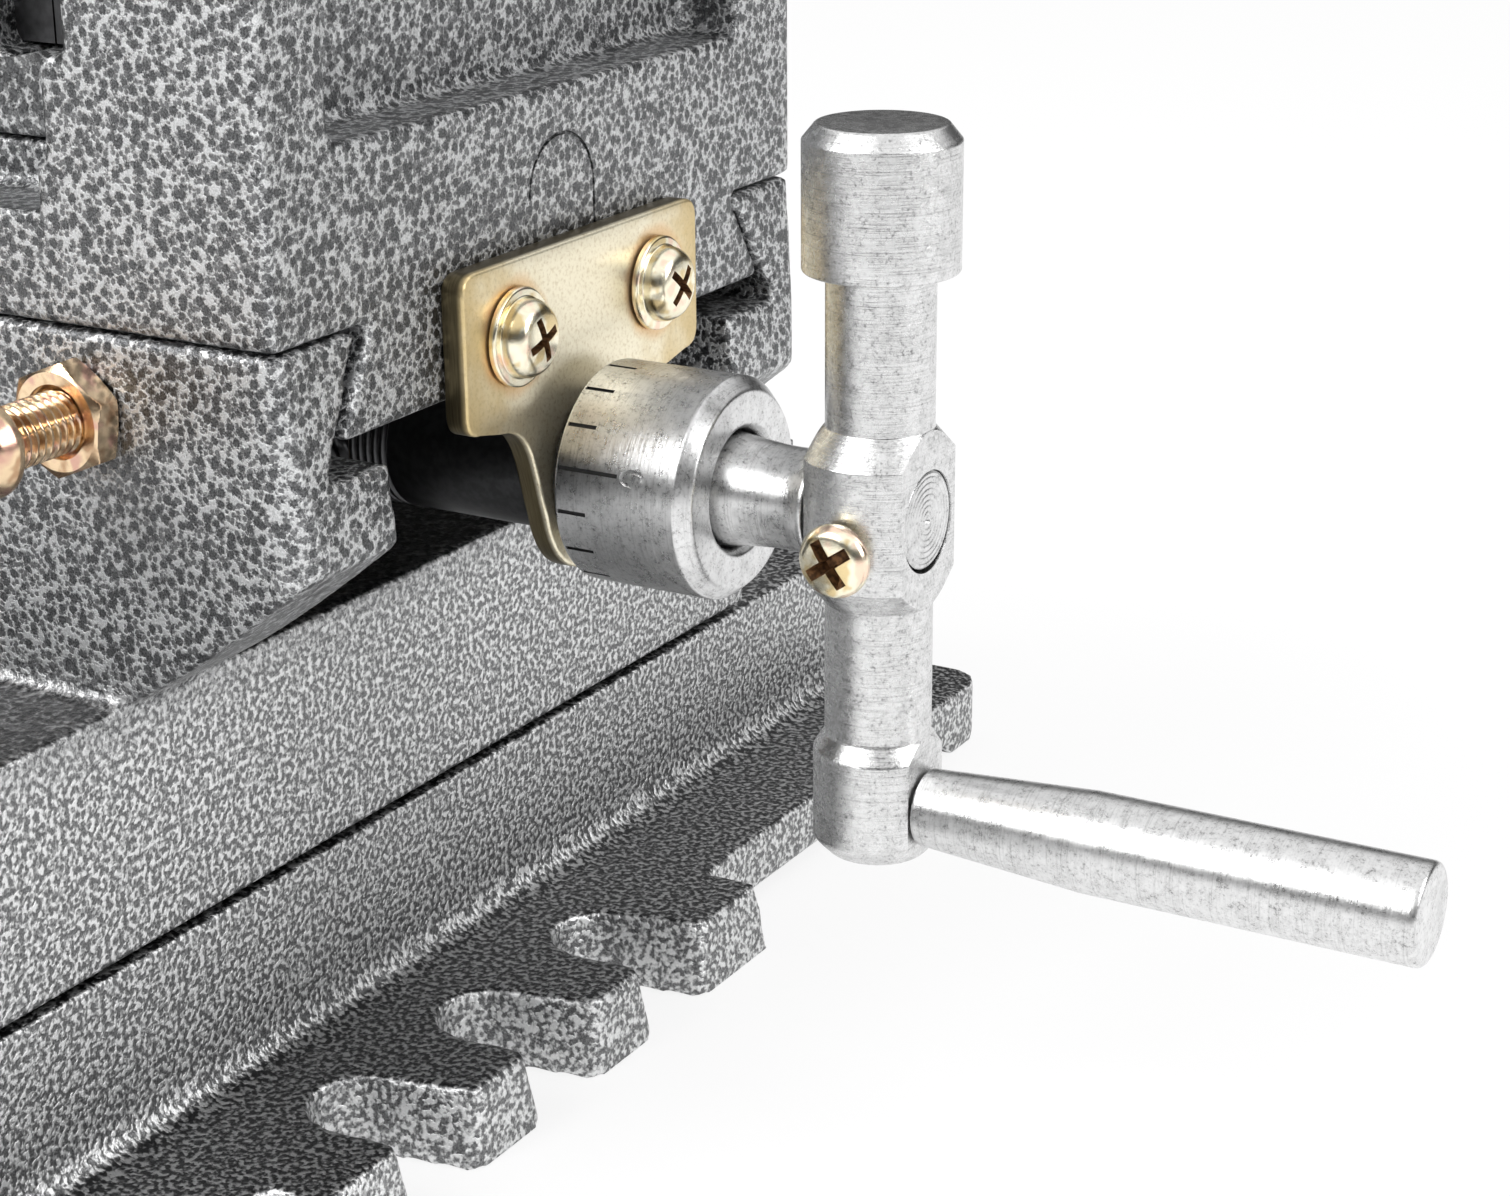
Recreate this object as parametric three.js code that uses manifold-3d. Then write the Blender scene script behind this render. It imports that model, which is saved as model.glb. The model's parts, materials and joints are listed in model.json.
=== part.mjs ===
// A cross slide vise: a slotted base, a saddle that slides along it, a vise body that slides
// across the saddle, and a screw with a dial and a crank for each of the two feeds.
// Millimetres. +Z is up, +X runs along the cross screw to its crank, +Y along the base, away
// from the base crank. The origin is the middle of the base's underside.
import * as THREE from 'three';
import { mergeVertices } from 'three/addons/utils/BufferGeometryUtils.js';
import Module from 'manifold-3d';

const wasm = await Module();
wasm.setup();

// Fits shared by all pieces
const seatGap = 0.3;
const slideGap = 0.4;
const overrun = 2;
const holeSpare = 2;
const curveSteps = 6;
const hexagonSides = 6;
const coarseSides = 12;
const mediumSides = 16;
const roundSides = 24;
const fineSides = 32;

// Saddle casting
const saddleShift = 11;
const slabLength = 186;
const slabHeight = 33.5;
const saddleLength = 177.5;
const saddleWidth = 122;
const saddleRise = 48.2;
const saddleDraft = 2.5;
const saddleCorner = 6;
const armOverhang = 28.75;
const armEndHeight = 27.3;
const haunchRun = 38;
const haunchBend = 21;
const nutTunnelWidth = 26;
const nutTunnelHeight = 23.8;
const channelFront = 41.8;
const channelBack = 40;

// Base casting, as wide as the saddle's slab, with wings that reach past the arms
const baseLength = 310;
const baseWallWidth = saddleLength - 2 * armOverhang;
const baseHeight = 36.3;
const baseFillet = 5;
const wingStandoff = 2.25;
const wingReach = 9;
const wingLength = 109;
const baseFlangeWidth = saddleLength + 2 * wingStandoff - 2 * wingReach;
const baseFlangeThickness = 11.3;
const flangeCorner = 8;
const slotCount = 3;
const slotPitch = 29.6;
const slotMouth = 17;
const slotDepth = 19;
const slotRound = 7.3;
const slotLean = 12.5;
const slotBackLean = 3;
const slotDraft = 2;
const wingDraft = 1;
const toothRound = 2.4;
const reliefHeight = 2.3;
const reliefReach = 16;
const reliefStandoff = 3.5;
const footLength = 14;
const pocketCount = 4;
const pocketRim = 12;
const pocketRib = 9;
const pocketDepth = 24;

// Way between base and saddle, along Y
const partingGap = 1;
const baseWayStandoff = 26;
const baseWayNeck = baseWallWidth - 2 * baseWayStandoff;
const baseWayHeight = 14.5;
const baseWayLand = 1.5;
const baseWayAngle = 32;
const baseScrewRise = 12.5;
const baseTrenchWidth = 28;
const baseTrenchDepth = 1.5;

// Way between saddle and vise body, along X
const crossScrewHeight = 20;
const crossWayFront = 42.1;
const crossWayBack = 43.4;
const crossWayHeight = 13.6;
const crossWayLand = 1.6;
const crossFrontAngle = 27.5;
const crossBackAngle = 32;
const crossFloorGap = 3.9;

// Gibs, their screws and lock nuts
const gibThickness = 2.2;
const gibSetback = 4;
const gibScrewRadius = 4;
const crossGibScrewSetback = 31.75;
const baseGibScrewSetback = 36;
const gibScrewRise = 6.7;
const gibStub = 11.6;
const gibHeadRadius = 6.3;
const gibHeadHeight = 4.2;
const gibHeadShare = 0.82;
const gibSocketRadius = 3.1;
const lockNutFlats = 13;
const lockNutHeight = 4;
const lockNutChamfer = 0.9;
const lockNutTurn = 22.6;

// Vise body casting
const bodySetback = 1.25;
const bodyLength = 256.5;
const bodyWidth = 122;
const bedHeight = 13.5;
const railHeight = 6;
const railWidth = 34;
const jawChannelWidth = 31;
const jawChannelWide = 48;
const jawChannelLip = 10;
const jawChannelFloor = 5.1;
const jawHeight = 46;
const jawThickness = 32.7;
const jawToe = 1.9;
const jawTopRound = 3;
const panelFront = 48.5;
const panelBack = 46;
const panelLedge = 22.5;
const panelDepth = 9.3;
const panelTopRim = 10;
const panelRound = 3;
const seamRadius = 7.6;
const seamWidth = 0.5;
const seamDepth = 0.6;
const seamHeight = 37;
const seamFoot = 30.5;

// Jaws, jaw plates and clamp
const jawPlateThickness = 6;
const jawPlateLength = 110;
const jawPlateDrop = 0.5;
const jawSeatHeight = 19;
const jawGap = 0.3;
const jawCastingGap = 4.3;
const movableJawDepth = 54.5;
const movableJawCrown = 22;
const movableJawHeel = 15;
const jawSkirtHeight = 12;
const jawSkirtWidth = 100;
const keeperThickness = 6;
const keeperLength = 42;
const spindleRadius = 8;
const spindleRise = 24;
const spindleNoseLength = 23.5;
const spindleNeckRadius = 5;
const retainerThickness = 4;
const retainerWidth = 42;
const retainerHeight = 24;
const spindleHeadRadius = 13;
const spindleHeadLength = 30;
const spindleHeadStandoff = 22;
const bossLength = 26;
const bossWidth = 50;
const bushRadius = 12;
const bushFlangeRadius = 16;
const bushFlange = 4;
const barRadius = 5;
const barLength = 150;
const barKnobRadius = 7.5;
const barKnobLength = 11;
const barKnobWall = 2;

// Screw, dial and crank, alike on both feeds, measured from the bracket's outer face
const screwThreadRadius = 6;
const screwShaftRadius = 6.4;
const screwCollarRadius = 9.5;
const screwCollarLength = 30.2;
const crossThreadLength = 147;
const baseThreadLength = 224;
const plateThickness = 3.5;
const plateHalfWidth = 28.1;
const plateTop = 31.5;
const plateFoot = 14;
const plateCorner = 3;
const plateShoulder = 9.4;
const plateWaist = 20.5;
const plateTongue = 10.8;
const plateScrewSpread = 16.9;
const plateScrewHeight = 21.6;
const plateScrewRadius = 2.5;
const plateScrewLength = 11;
const plateFlangeRadius = 6.5;
const plateFlangeHeight = 0.9;
const plateHeadRadius = 5.1;
const plateHeadHeight = 3.6;
const dialStandoff = 3.7;
const dialLength = 20;
const dialRadius = 14.9;
const dialChamfer = 0.9;
const dialBevel = 1.8;
const dialCupRadius = 8;
const dialCupDepth = 4.5;
const washerRadius = 10;
const crankReach = 43.7;
const armRadius = 7;
const capRadius = 10;
const capBottom = 31.6;
const capTop = 50.1;
const capChamfer = 1.9;
const hubRadius = 10.2;
const hubHalfHeight = 8;
const hubConeHeight = 3.7;
const bossRadius = 8.5;
const bossTop = 32;
const bossBottom = 44.4;
const bossTopChamfer = 2.3;
const bossBottomChamfer = 2.1;
const handleDrop = 39.3;
const handleRootRadius = 5.14;
const handleRadius = 6.65;
const handleConeLength = 23.3;
const handleLength = 68;
const handleChamfer = 0.7;
const studRadius = 2.5;
const studDepth = 8;
const studLength = 44;
const setScrewDrop = 3;
const setScrewRadius = 2.4;
const setScrewHeadRadius = 4.9;
const setScrewHeadHeight = 2.9;
const setScrewStandoff = 1;

// Feed nuts and small screws
const feedNutLength = 30;
const feedNutWidth = 25;
const baseNutShift = 29;
const baseNutWidth = 24;
const baseNutDrop = 21;
const nutScrewSpread = 6;
const crossNutScrewSpread = 8;
const nutScrewRadius = 3;
const nutScrewHeadRadius = 4.9;
const nutScrewHeadHeight = 4;
const nutScrewGrip = 8;
const baseNutScrewGrip = 5;
const plateBoltRadius = 2.5;
const plateBoltHeadRadius = 4.6;
const plateBoltGrip = 11;
const plateBoltSpread = 35;
const plateBoltSink = 2.6;
const keeperScrewSpread = 12;

// Small shapes, as shares of a part's own sizes: of radius and height for the two screw heads
const panHeadShares = [[0.86, 0.7], [0.5, 0.973]];
const setHeadShares = [[0.84, 0.75], [0.45, 0.958]];
const headStepShare = 0.33;
const recessDepthShare = 0.7;
const recessWidthShare = 0.33;
const panRecessShare = 0.62;
const setRecessShare = 0.8;
const socketShare = 0.9;
const tongueCornerShare = 0.8;
const tongueFootShare = 0.33;
const tongueSideShare = 1.25;
const tongueRiseShare = 0.3;
const waistReachShare = 0.65;
const waistRiseShare = 0.95;
const shoulderSlopeShare = 0.33;
const shoulderRoundShare = 1.4;

// Heights and places that follow from the sizes above
const baseWayTop = baseHeight + baseWayHeight;
const baseScrewHeight = baseHeight + baseScrewRise;
const baseTrenchFloor = baseHeight - baseTrenchDepth;
const slabBottom = baseHeight + partingGap;
const slabTop = slabBottom + slabHeight;
const nutTunnelRoof = slabBottom + nutTunnelHeight;
const saddleTop = slabTop + saddleRise;
const bodyBottom = saddleTop + seatGap;
const bedTop = bodyBottom + bedHeight;
const railTop = bedTop + railHeight;
const jawTop = bedTop + jawHeight;
const jawSeatBottom = bedTop + jawSeatHeight;
const crossAxis = slabTop + crossScrewHeight;
const crossWayBottom = bodyBottom - crossWayHeight;
const crossFloor = crossWayBottom - crossFloorGap;
const bodyEnd = saddleLength / 2 - bodySetback;
const bodyTail = bodyEnd - bodyLength;
const jawFace = bodyEnd - jawThickness;
const movableJawFront = jawFace - jawCastingGap;
const movableJawRear = movableJawFront - movableJawDepth;
const spindleAxis = bedTop + spindleRise;
const plateGapMiddle = (jawFace + movableJawFront) / 2;
const fixedPlateFace = plateGapMiddle + jawGap / 2;
const movablePlateFace = plateGapMiddle - jawGap / 2;

// Colours
const paint = { color: 0x8c8f90, roughness: 0.45, metalness: 0.35 };
const steel = { color: 0xb9bbbc, roughness: 0.28, metalness: 1 };
const darkSteel = { color: 0x4b4d50, roughness: 0.4, metalness: 1 };
const zinc = { color: 0xc2ac72, roughness: 0.35, metalness: 1 };
const brass = { color: 0xcf9d63, roughness: 0.3, metalness: 1 };
const bronze = { color: 0xa9743f, roughness: 0.4, metalness: 1 };

// Turns a closed geometry into a solid that can be joined and cut
function solid(geometry) {
  const bare = geometry.clone();
  bare.deleteAttribute('normal');
  bare.deleteAttribute('uv');
  const merged = mergeVertices(bare);
  const points = merged.attributes.position.array;
  const corners = [];
  let volume = 0;
  for (let i = 0; i < merged.index.count; i += 3) {
    const [a, b, c] = [0, 1, 2].map((k) => merged.index.array[i + k]);
    if (a === b || b === c || c === a) continue;
    corners.push(a, b, c);
    const [p, q, r] = [a, b, c].map((k) => new THREE.Vector3().fromArray(points, 3 * k));
    volume += p.dot(q.cross(r));
  }
  if (volume < 0) corners.reverse();
  return new wasm.Manifold(new wasm.Mesh({
    numProp: 3,
    vertProperties: new Float32Array(points),
    triVerts: new Uint32Array(corners),
  }));
}

function joined(first, ...others) {
  return others.reduce((sum, other) => sum.add(other), first);
}

function cut(first, ...others) {
  return others.reduce((rest, other) => rest.subtract(other), first);
}

function block(x0, x1, y0, y1, z0, z1) {
  const geometry = new THREE.BoxGeometry(Math.abs(x1 - x0), Math.abs(y1 - y0), Math.abs(z1 - z0));
  geometry.translate((x0 + x1) / 2, (y0 + y1) / 2, (z0 + z1) / 2);
  return solid(geometry);
}

// Extrudes an outline along one axis: (x, y) along Z, (y, z) along X, (x, z) along Y
function extruded(outline, axis, from, to) {
  const corners = Array.isArray(outline) && outline.map(([a, b]) => new THREE.Vector2(a, b));
  const shape = corners ? new THREE.Shape(corners) : outline;
  const geometry = new THREE.ExtrudeGeometry(shape, {
    depth: to - from,
    bevelEnabled: false,
    curveSegments: curveSteps,
  });
  if (axis === 'z') geometry.translate(0, 0, from);
  if (axis === 'x') geometry.rotateY(Math.PI / 2).rotateX(Math.PI / 2).translate(from, 0, 0);
  if (axis === 'y') geometry.rotateX(Math.PI / 2).translate(0, to, 0);
  return solid(geometry);
}

// Turns a profile of (radius, place along the axis) round an axis through the given centre
function turned(profile, axis, centre, sides = roundSides) {
  const geometry = new THREE.LatheGeometry(profile.map(([r, h]) => new THREE.Vector2(r, h)), sides);
  if (axis === 'x') geometry.rotateZ(-Math.PI / 2);
  if (axis === 'z') geometry.rotateX(Math.PI / 2);
  geometry.translate(...centre);
  return solid(geometry);
}

function rod(radius, axis, from, to, centre, sides = roundSides) {
  return turned([[0, from], [radius, from], [radius, to], [0, to]], axis, centre, sides);
}

const group = new THREE.Group();

function piece(name, shape, look, parent = group) {
  const mesh = shape.getMesh();
  const geometry = new THREE.BufferGeometry();
  geometry.setAttribute('position', new THREE.BufferAttribute(mesh.vertProperties, 3));
  geometry.setIndex(new THREE.BufferAttribute(mesh.triVerts, 1));
  geometry.computeVertexNormals();
  const node = new THREE.Mesh(geometry, new THREE.MeshStandardMaterial(look));
  node.name = name;
  parent.add(node);
  return node;
}

function slope(angle) {
  return Math.tan(THREE.MathUtils.degToRad(angle));
}

// Plan outline of the base: a flange with a toothed wing on each long side
function baseOutline() {
  const side = baseFlangeWidth / 2;
  const front = side + wingReach;
  const end = baseLength / 2;
  const shape = new THREE.Shape();
  const along = (sign) => {
    const mouths = [...Array(slotCount).keys()].map((k) => (k - (slotCount - 1) / 2) * slotPitch);
    const walk = sign > 0 ? mouths : mouths.reverse();
    const start = -sign * wingLength / 2;
    shape.lineTo(sign * side, start);
    shape.lineTo(sign * front, start);
    for (const mouth of walk) {
      const low = mouth - slotMouth / 2;
      const high = mouth + slotMouth / 2;
      const inner = slotDepth - slotRound;
      const near = sign > 0 ? low : high;
      const far = sign > 0 ? high : low;
      const nearLean = sign > 0 ? slotBackLean : slotLean;
      const farLean = sign > 0 ? slotLean : slotBackLean;
      shape.lineTo(sign * front, near - sign * toothRound);
      const flank = near - toothRound * slope(nearLean);
      shape.quadraticCurveTo(sign * front, near, sign * (front - toothRound), flank);
      const nearRoot = near - inner * slope(nearLean);
      const farRoot = far - inner * slope(farLean);
      shape.lineTo(sign * (front - inner), nearRoot);
      const middle = (nearRoot + farRoot) / 2;
      for (let k = 1; k < curveSteps; k += 1) {
        const turn = Math.PI * k / curveSteps;
        const width = (nearRoot - middle) * Math.cos(turn);
        shape.lineTo(sign * (front - inner - slotRound * Math.sin(turn)), middle + width);
      }
      shape.lineTo(sign * (front - inner), farRoot);
      shape.lineTo(sign * (front - toothRound), far - toothRound * slope(farLean));
      shape.quadraticCurveTo(sign * front, far, sign * front, far + sign * toothRound);
    }
    shape.lineTo(sign * front, -start);
    shape.lineTo(sign * side, -start);
    shape.lineTo(sign * side, sign * (end - flangeCorner));
    shape.quadraticCurveTo(sign * side, sign * end, sign * (side - flangeCorner), sign * end);
  };
  shape.moveTo(side - flangeCorner, -end);
  shape.quadraticCurveTo(side, -end, side, flangeCorner - end);
  along(1);
  shape.lineTo(flangeCorner - side, end);
  shape.quadraticCurveTo(-side, end, -side, end - flangeCorner);
  along(-1);
  return shape;
}

// The flange with its draft: towards the foot the slots narrow and the wings' ends and fronts spread
function baseFlange() {
  const side = baseFlangeWidth / 2;
  return extruded(baseOutline(), 'z', 0, baseFlangeThickness).warp((point) => {
    const [x, y, z] = point;
    if (z > 0 || Math.abs(y) > wingLength / 2) return;
    const slot = Math.round(y / slotPitch) * slotPitch;
    const atEnd = Math.abs(y) > slotCount * slotPitch / 2;
    const narrowing = (slotMouth - 2 * slotDraft) / slotMouth;
    point[1] = atEnd ? y + Math.sign(y) * slotDraft : slot + (y - slot) * narrowing;
    point[0] += Math.sign(x) * wingDraft * Math.max(0, (Math.abs(x) - side) / wingReach);
  });
}

// Half width of the base's dovetail way at a height
function baseFlank(height) {
  return baseWayNeck / 2 + (height - baseHeight) * slope(baseWayAngle);
}

function makeBase() {
  const half = baseLength / 2;
  const wall = baseWallWidth / 2;
  const top = baseFlangeThickness + baseFillet;
  const section = new THREE.Shape();
  section.moveTo(-wall - baseFillet, 0);
  section.lineTo(wall + baseFillet, 0);
  section.lineTo(wall + baseFillet, baseFlangeThickness);
  section.quadraticCurveTo(wall, baseFlangeThickness, wall, top);
  section.lineTo(wall, baseHeight);
  section.lineTo(-wall, baseHeight);
  section.lineTo(-wall, top);
  section.quadraticCurveTo(-wall, baseFlangeThickness, -wall - baseFillet, baseFlangeThickness);
  const neck = baseWayNeck / 2;
  const tip = baseFlank(baseWayTop - baseWayLand);
  const way = extruded([
    [-neck, baseHeight - overrun], [neck, baseHeight - overrun], [neck, baseHeight],
    [tip, baseWayTop - baseWayLand], [tip, baseWayTop], [-tip, baseWayTop],
    [-tip, baseWayTop - baseWayLand], [-neck, baseHeight],
  ], 'y', -half, half);
  const trench = block(-baseTrenchWidth / 2, baseTrenchWidth / 2, -half - overrun, half + overrun,
    baseTrenchFloor, baseWayTop + overrun);
  const pockets = [];
  const span = (baseLength - 2 * pocketRim - (pocketCount - 1) * pocketRib) / pocketCount;
  for (let k = 0; k < pocketCount; k += 1) {
    const from = -half + pocketRim + k * (span + pocketRib);
    pockets.push(block(pocketRim - wall, wall - pocketRim, from, from + span, -overrun, pocketDepth));
  }
  const side = baseFlangeWidth / 2;
  const wingEnd = wingLength / 2 + reliefStandoff;
  const reliefs = [-1, 1].flatMap((across) => [-1, 1].map((along) => block(across * (side - reliefReach),
    across * (side + overrun), along * wingEnd, along * (half - footLength), -overrun, reliefHeight)));
  const holes = [-1, 1].map((across) => rod(plateScrewRadius + seatGap, 'y', -half - overrun,
    plateScrewLength + seatGap - half, [across * plateScrewSpread, 0, baseScrewHeight - plateScrewHeight],
    coarseSides));
  return cut(joined(baseFlange(), extruded(section, 'y', -half, half), way), trench, ...pockets, ...reliefs,
    ...holes);
}

// The saddle's groove over the base way, with room for the gib on the -X side
function baseGroove() {
  const gib = gibThickness + 2 * seatGap;
  const [low, high] = [slabBottom - overrun, baseWayTop + seatGap];
  return extruded([
    [-baseFlank(low) - gib, low], [baseFlank(low) + slideGap, low],
    [baseFlank(high) + slideGap, high], [-baseFlank(high) - gib, high],
  ], 'y', -slabLength, slabLength);
}

// Flanks of the cross way at a height, front (gib side) and back, as distances from the screw
function crossFront(height) {
  return saddleShift - crossWayFront - (bodyBottom - height) * slope(crossFrontAngle);
}

function crossBack(height) {
  return saddleShift + crossWayBack + (bodyBottom - height) * slope(crossBackAngle);
}

function saddleSection() {
  const top = saddleLength / 2 - saddleDraft / 2;
  const low = saddleLength / 2 + saddleDraft / 2;
  const arm = saddleTop - armEndHeight;
  const slab = baseWallWidth / 2;
  const shape = new THREE.Shape();
  shape.moveTo(-slab, slabBottom);
  shape.lineTo(slab, slabBottom);
  shape.lineTo(slab, slabTop);
  shape.quadraticCurveTo(low - haunchBend, slabTop + (slab + haunchRun - low) / 2, low, arm);
  shape.lineTo(top, saddleTop);
  shape.lineTo(-top, saddleTop);
  shape.lineTo(-low, arm);
  shape.quadraticCurveTo(haunchBend - low, slabTop + (slab + haunchRun - low) / 2, -slab, slabTop);
  return shape;
}

function roundedPlan(halfX, y0, y1, radius) {
  const shape = new THREE.Shape();
  shape.moveTo(radius - halfX, y0);
  shape.lineTo(halfX - radius, y0);
  shape.quadraticCurveTo(halfX, y0, halfX, y0 + radius);
  shape.lineTo(halfX, y1 - radius);
  shape.quadraticCurveTo(halfX, y1, halfX - radius, y1);
  shape.lineTo(radius - halfX, y1);
  shape.quadraticCurveTo(-halfX, y1, -halfX, y1 - radius);
  shape.lineTo(-halfX, y0 + radius);
  shape.quadraticCurveTo(-halfX, y0, radius - halfX, y0);
  return shape;
}

const crossGibPlaces = [-1, 0, 1].map((k) => k * (saddleLength / 2 - crossGibScrewSetback));
const baseGibPlaces = [-1, 0, 1].map((k) => saddleShift + k * (slabLength / 2 - baseGibScrewSetback));
const crossGibHeight = crossFloor + gibScrewRise;
const baseGibHeight = slabBottom + gibScrewRise;

function makeSaddle() {
  const half = saddleWidth / 2;
  const reach = saddleLength;
  const body = extruded(saddleSection(), 'y', saddleShift - half, saddleShift + half);
  const plan = extruded(roundedPlan((saddleLength + saddleDraft) / 2, saddleShift - half, saddleShift + half,
    saddleCorner), 'z', 0, saddleTop + overrun);
  const slab = block(-baseWallWidth / 2, baseWallWidth / 2, saddleShift - slabLength / 2,
    saddleShift + slabLength / 2, slabBottom, slabTop);
  const over = saddleTop + overrun;
  const groove = extruded([
    [crossFront(over) - gibThickness - 2 * seatGap, over],
    [crossFront(crossFloor) - gibThickness - 2 * seatGap, crossFloor],
    [crossBack(crossFloor) + slideGap, crossFloor],
    [crossBack(over) + slideGap, over],
  ], 'x', -reach, reach);
  const channel = block(-reach, reach, saddleShift - channelFront, saddleShift + channelBack, slabTop, over);
  const tunnel = block(-nutTunnelWidth / 2, nutTunnelWidth / 2, -baseLength, baseLength,
    slabBottom - overrun, nutTunnelRoof);
  const gibSpace = gibScrewRadius + seatGap;
  const gibHoles = [
    ...crossGibPlaces.map((x) => rod(gibSpace, 'y', -reach, saddleShift - channelFront,
      [x, 0, crossGibHeight], coarseSides)),
    ...baseGibPlaces.map((y) => rod(gibSpace, 'x', -reach, -baseWayNeck / 2,
      [0, y, baseGibHeight], coarseSides)),
  ];
  const nutHoles = nutScrewPlaces().map(([y]) => rod(nutScrewRadius + seatGap, 'z', nutTunnelRoof - overrun,
    slabTop + overrun, [0, y, 0], coarseSides));
  const whole = joined(body.intersect(plan), slab);
  return cut(whole, groove, channel, baseGroove(), tunnel, ...gibHoles, ...nutHoles);
}

// Screws that hold the two feed nuts: place along Y, and whether the head is above the slab
function nutScrewPlaces() {
  return [
    [saddleShift - crossNutScrewSpread, false],
    [saddleShift + crossNutScrewSpread, false],
    [saddleShift + baseNutShift - nutScrewSpread, true],
    [saddleShift + baseNutShift + nutScrewSpread, true],
  ];
}

// Head on the side of the axis that direction names, shank the other way from the seat
function capScrew(axis, seat, direction, grip, centre, sizes) {
  const [shank, headRadius, headHeight] = sizes;
  const profile = [
    [0, seat - direction * grip], [shank, seat - direction * grip], [shank, seat],
    [headRadius, seat], [headRadius, seat + direction * headHeight], [0, seat + direction * headHeight],
  ];
  const face = seat + direction * headHeight;
  const socket = hexagonSocket(axis, face, direction, headHeight / 2, shank * socketShare, centre);
  return cut(turned(profile, axis, centre, coarseSides), socket);
}

// Hexagon socket, open outwards
function hexagonSocket(axis, face, direction, depth, radius, centre) {
  return rod(radius, axis, face - direction * depth, face + direction * overrun, centre, hexagonSides);
}

// Profile of a round screw head from its seat out, rounded over by shares of radius and height
function panHead(radius, seat, height, shares) {
  return [
    [radius, seat], [radius, seat + height * headStepShare],
    ...shares.map(([wide, high]) => [radius * wide, seat + height * high]), [0, seat + height],
  ];
}

// Crossed driver slots in a head of some height, whose face looks along X
function crossRecess(face, height, reach) {
  const depth = height * recessDepthShare;
  const width = height * recessWidthShare;
  const arm = (turn) => {
    const shape = new THREE.BoxGeometry(depth + overrun, 2 * reach, width);
    shape.rotateX(turn);
    shape.translate(face - depth + (depth + overrun) / 2, 0, 0);
    return solid(shape);
  };
  return arm(Math.PI / 4).add(arm(-Math.PI / 4));
}

function makeVise() {
  const half = bodyWidth / 2;
  const mid = saddleShift;
  const bed = block(bodyTail, bodyEnd, mid - half, mid + half, bodyBottom, bedTop);
  const land = crossWayBottom + crossWayLand;
  const way = extruded([
    [crossFront(bodyBottom), bodyBottom + overrun], [crossFront(bodyBottom), bodyBottom],
    [crossFront(land), land], [crossFront(land), crossWayBottom],
    [crossBack(land), crossWayBottom], [crossBack(land), land],
    [crossBack(bodyBottom), bodyBottom], [crossBack(bodyBottom), bodyBottom + overrun],
  ], 'x', bodyTail, bodyEnd);
  const rails = [-1, 1].map((side) => {
    const inner = mid + side * jawChannelWidth / 2;
    return block(bodyTail, jawFace, inner, inner + side * railWidth, bedTop - overrun, railTop);
  });
  const jaw = new THREE.Shape();
  jaw.moveTo(bodyEnd, bedTop - overrun);
  jaw.lineTo(bodyEnd, jawTop - jawTopRound);
  jaw.quadraticCurveTo(bodyEnd, jawTop, bodyEnd - jawTopRound, jawTop);
  jaw.lineTo(fixedPlateFace + jawPlateThickness, jawTop);
  jaw.lineTo(fixedPlateFace + jawPlateThickness, jawSeatBottom);
  jaw.lineTo(jawFace, jawSeatBottom);
  jaw.lineTo(jawFace, railTop);
  jaw.lineTo(jawFace - jawToe, railTop);
  jaw.lineTo(jawFace - jawToe, bedTop - overrun);
  const jawBlock = extruded(jaw, 'y', mid - half, mid + half);
  const bossHalf = bossWidth / 2;
  const boss = new THREE.Shape();
  boss.moveTo(mid - bossHalf, bedTop - overrun);
  boss.lineTo(mid + bossHalf, bedTop - overrun);
  boss.lineTo(mid + bossHalf, spindleAxis);
  boss.absarc(mid, spindleAxis, bossHalf, 0, Math.PI, false);
  const bossBlock = extruded(boss, 'x', bodyTail, bodyTail + bossLength);
  const lip = railTop - jawChannelLip;
  const neckCut = block(bodyTail + bossLength, jawFace - jawToe - overrun, mid - jawChannelWidth / 2,
    mid + jawChannelWidth / 2, lip - overrun, railTop + overrun);
  const wideCut = block(bodyTail - overrun, jawFace - jawToe - overrun, mid - jawChannelWide / 2,
    mid + jawChannelWide / 2, crossWayBottom + jawChannelFloor, lip);
  const bossNeck = block(bodyTail - overrun, bodyTail + bossLength + overrun, mid - jawChannelWidth / 2,
    mid + jawChannelWidth / 2, lip - overrun, bedTop);
  const panel = new THREE.Shape();
  const [left, right] = [mid - panelFront, mid + panelBack];
  const [low, high] = [bodyBottom + panelLedge, jawTop - panelTopRim];
  panel.moveTo(left + panelRound, low);
  panel.lineTo(right - panelRound, low);
  panel.quadraticCurveTo(right, low, right, low + panelRound);
  panel.lineTo(right, high - panelRound);
  panel.quadraticCurveTo(right, high, right - panelRound, high);
  panel.lineTo(left + panelRound, high);
  panel.quadraticCurveTo(left, high, left, high - panelRound);
  panel.lineTo(left, low + panelRound);
  panel.quadraticCurveTo(left, low, left + panelRound, low);
  const panelCut = extruded(panel, 'x', bodyEnd - panelDepth, bodyEnd + overrun);
  const bushHole = rod(bushRadius + seatGap, 'x', bodyTail - overrun, bodyTail + bossLength + overrun,
    [0, mid, spindleAxis]);
  const plateHoles = [-1, 1].map((side) => rod(plateScrewRadius + seatGap, 'x',
    bodyEnd - plateScrewLength - seatGap, bodyEnd + overrun,
    [0, mid + side * plateScrewSpread, crossAxis + plateScrewHeight], coarseSides));
  const boltHoles = boltPlaces().map(([y, z]) => rod(plateBoltRadius + seatGap, 'x',
    jawFace, fixedPlateFace + jawPlateThickness + plateBoltGrip, [0, y, z], coarseSides));
  return cut(joined(bed, way, ...rails, jawBlock, bossBlock), neckCut, wideCut, bossNeck, panelCut, seamCut(),
    bushHole, ...plateHoles, ...boltHoles);
}

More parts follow.
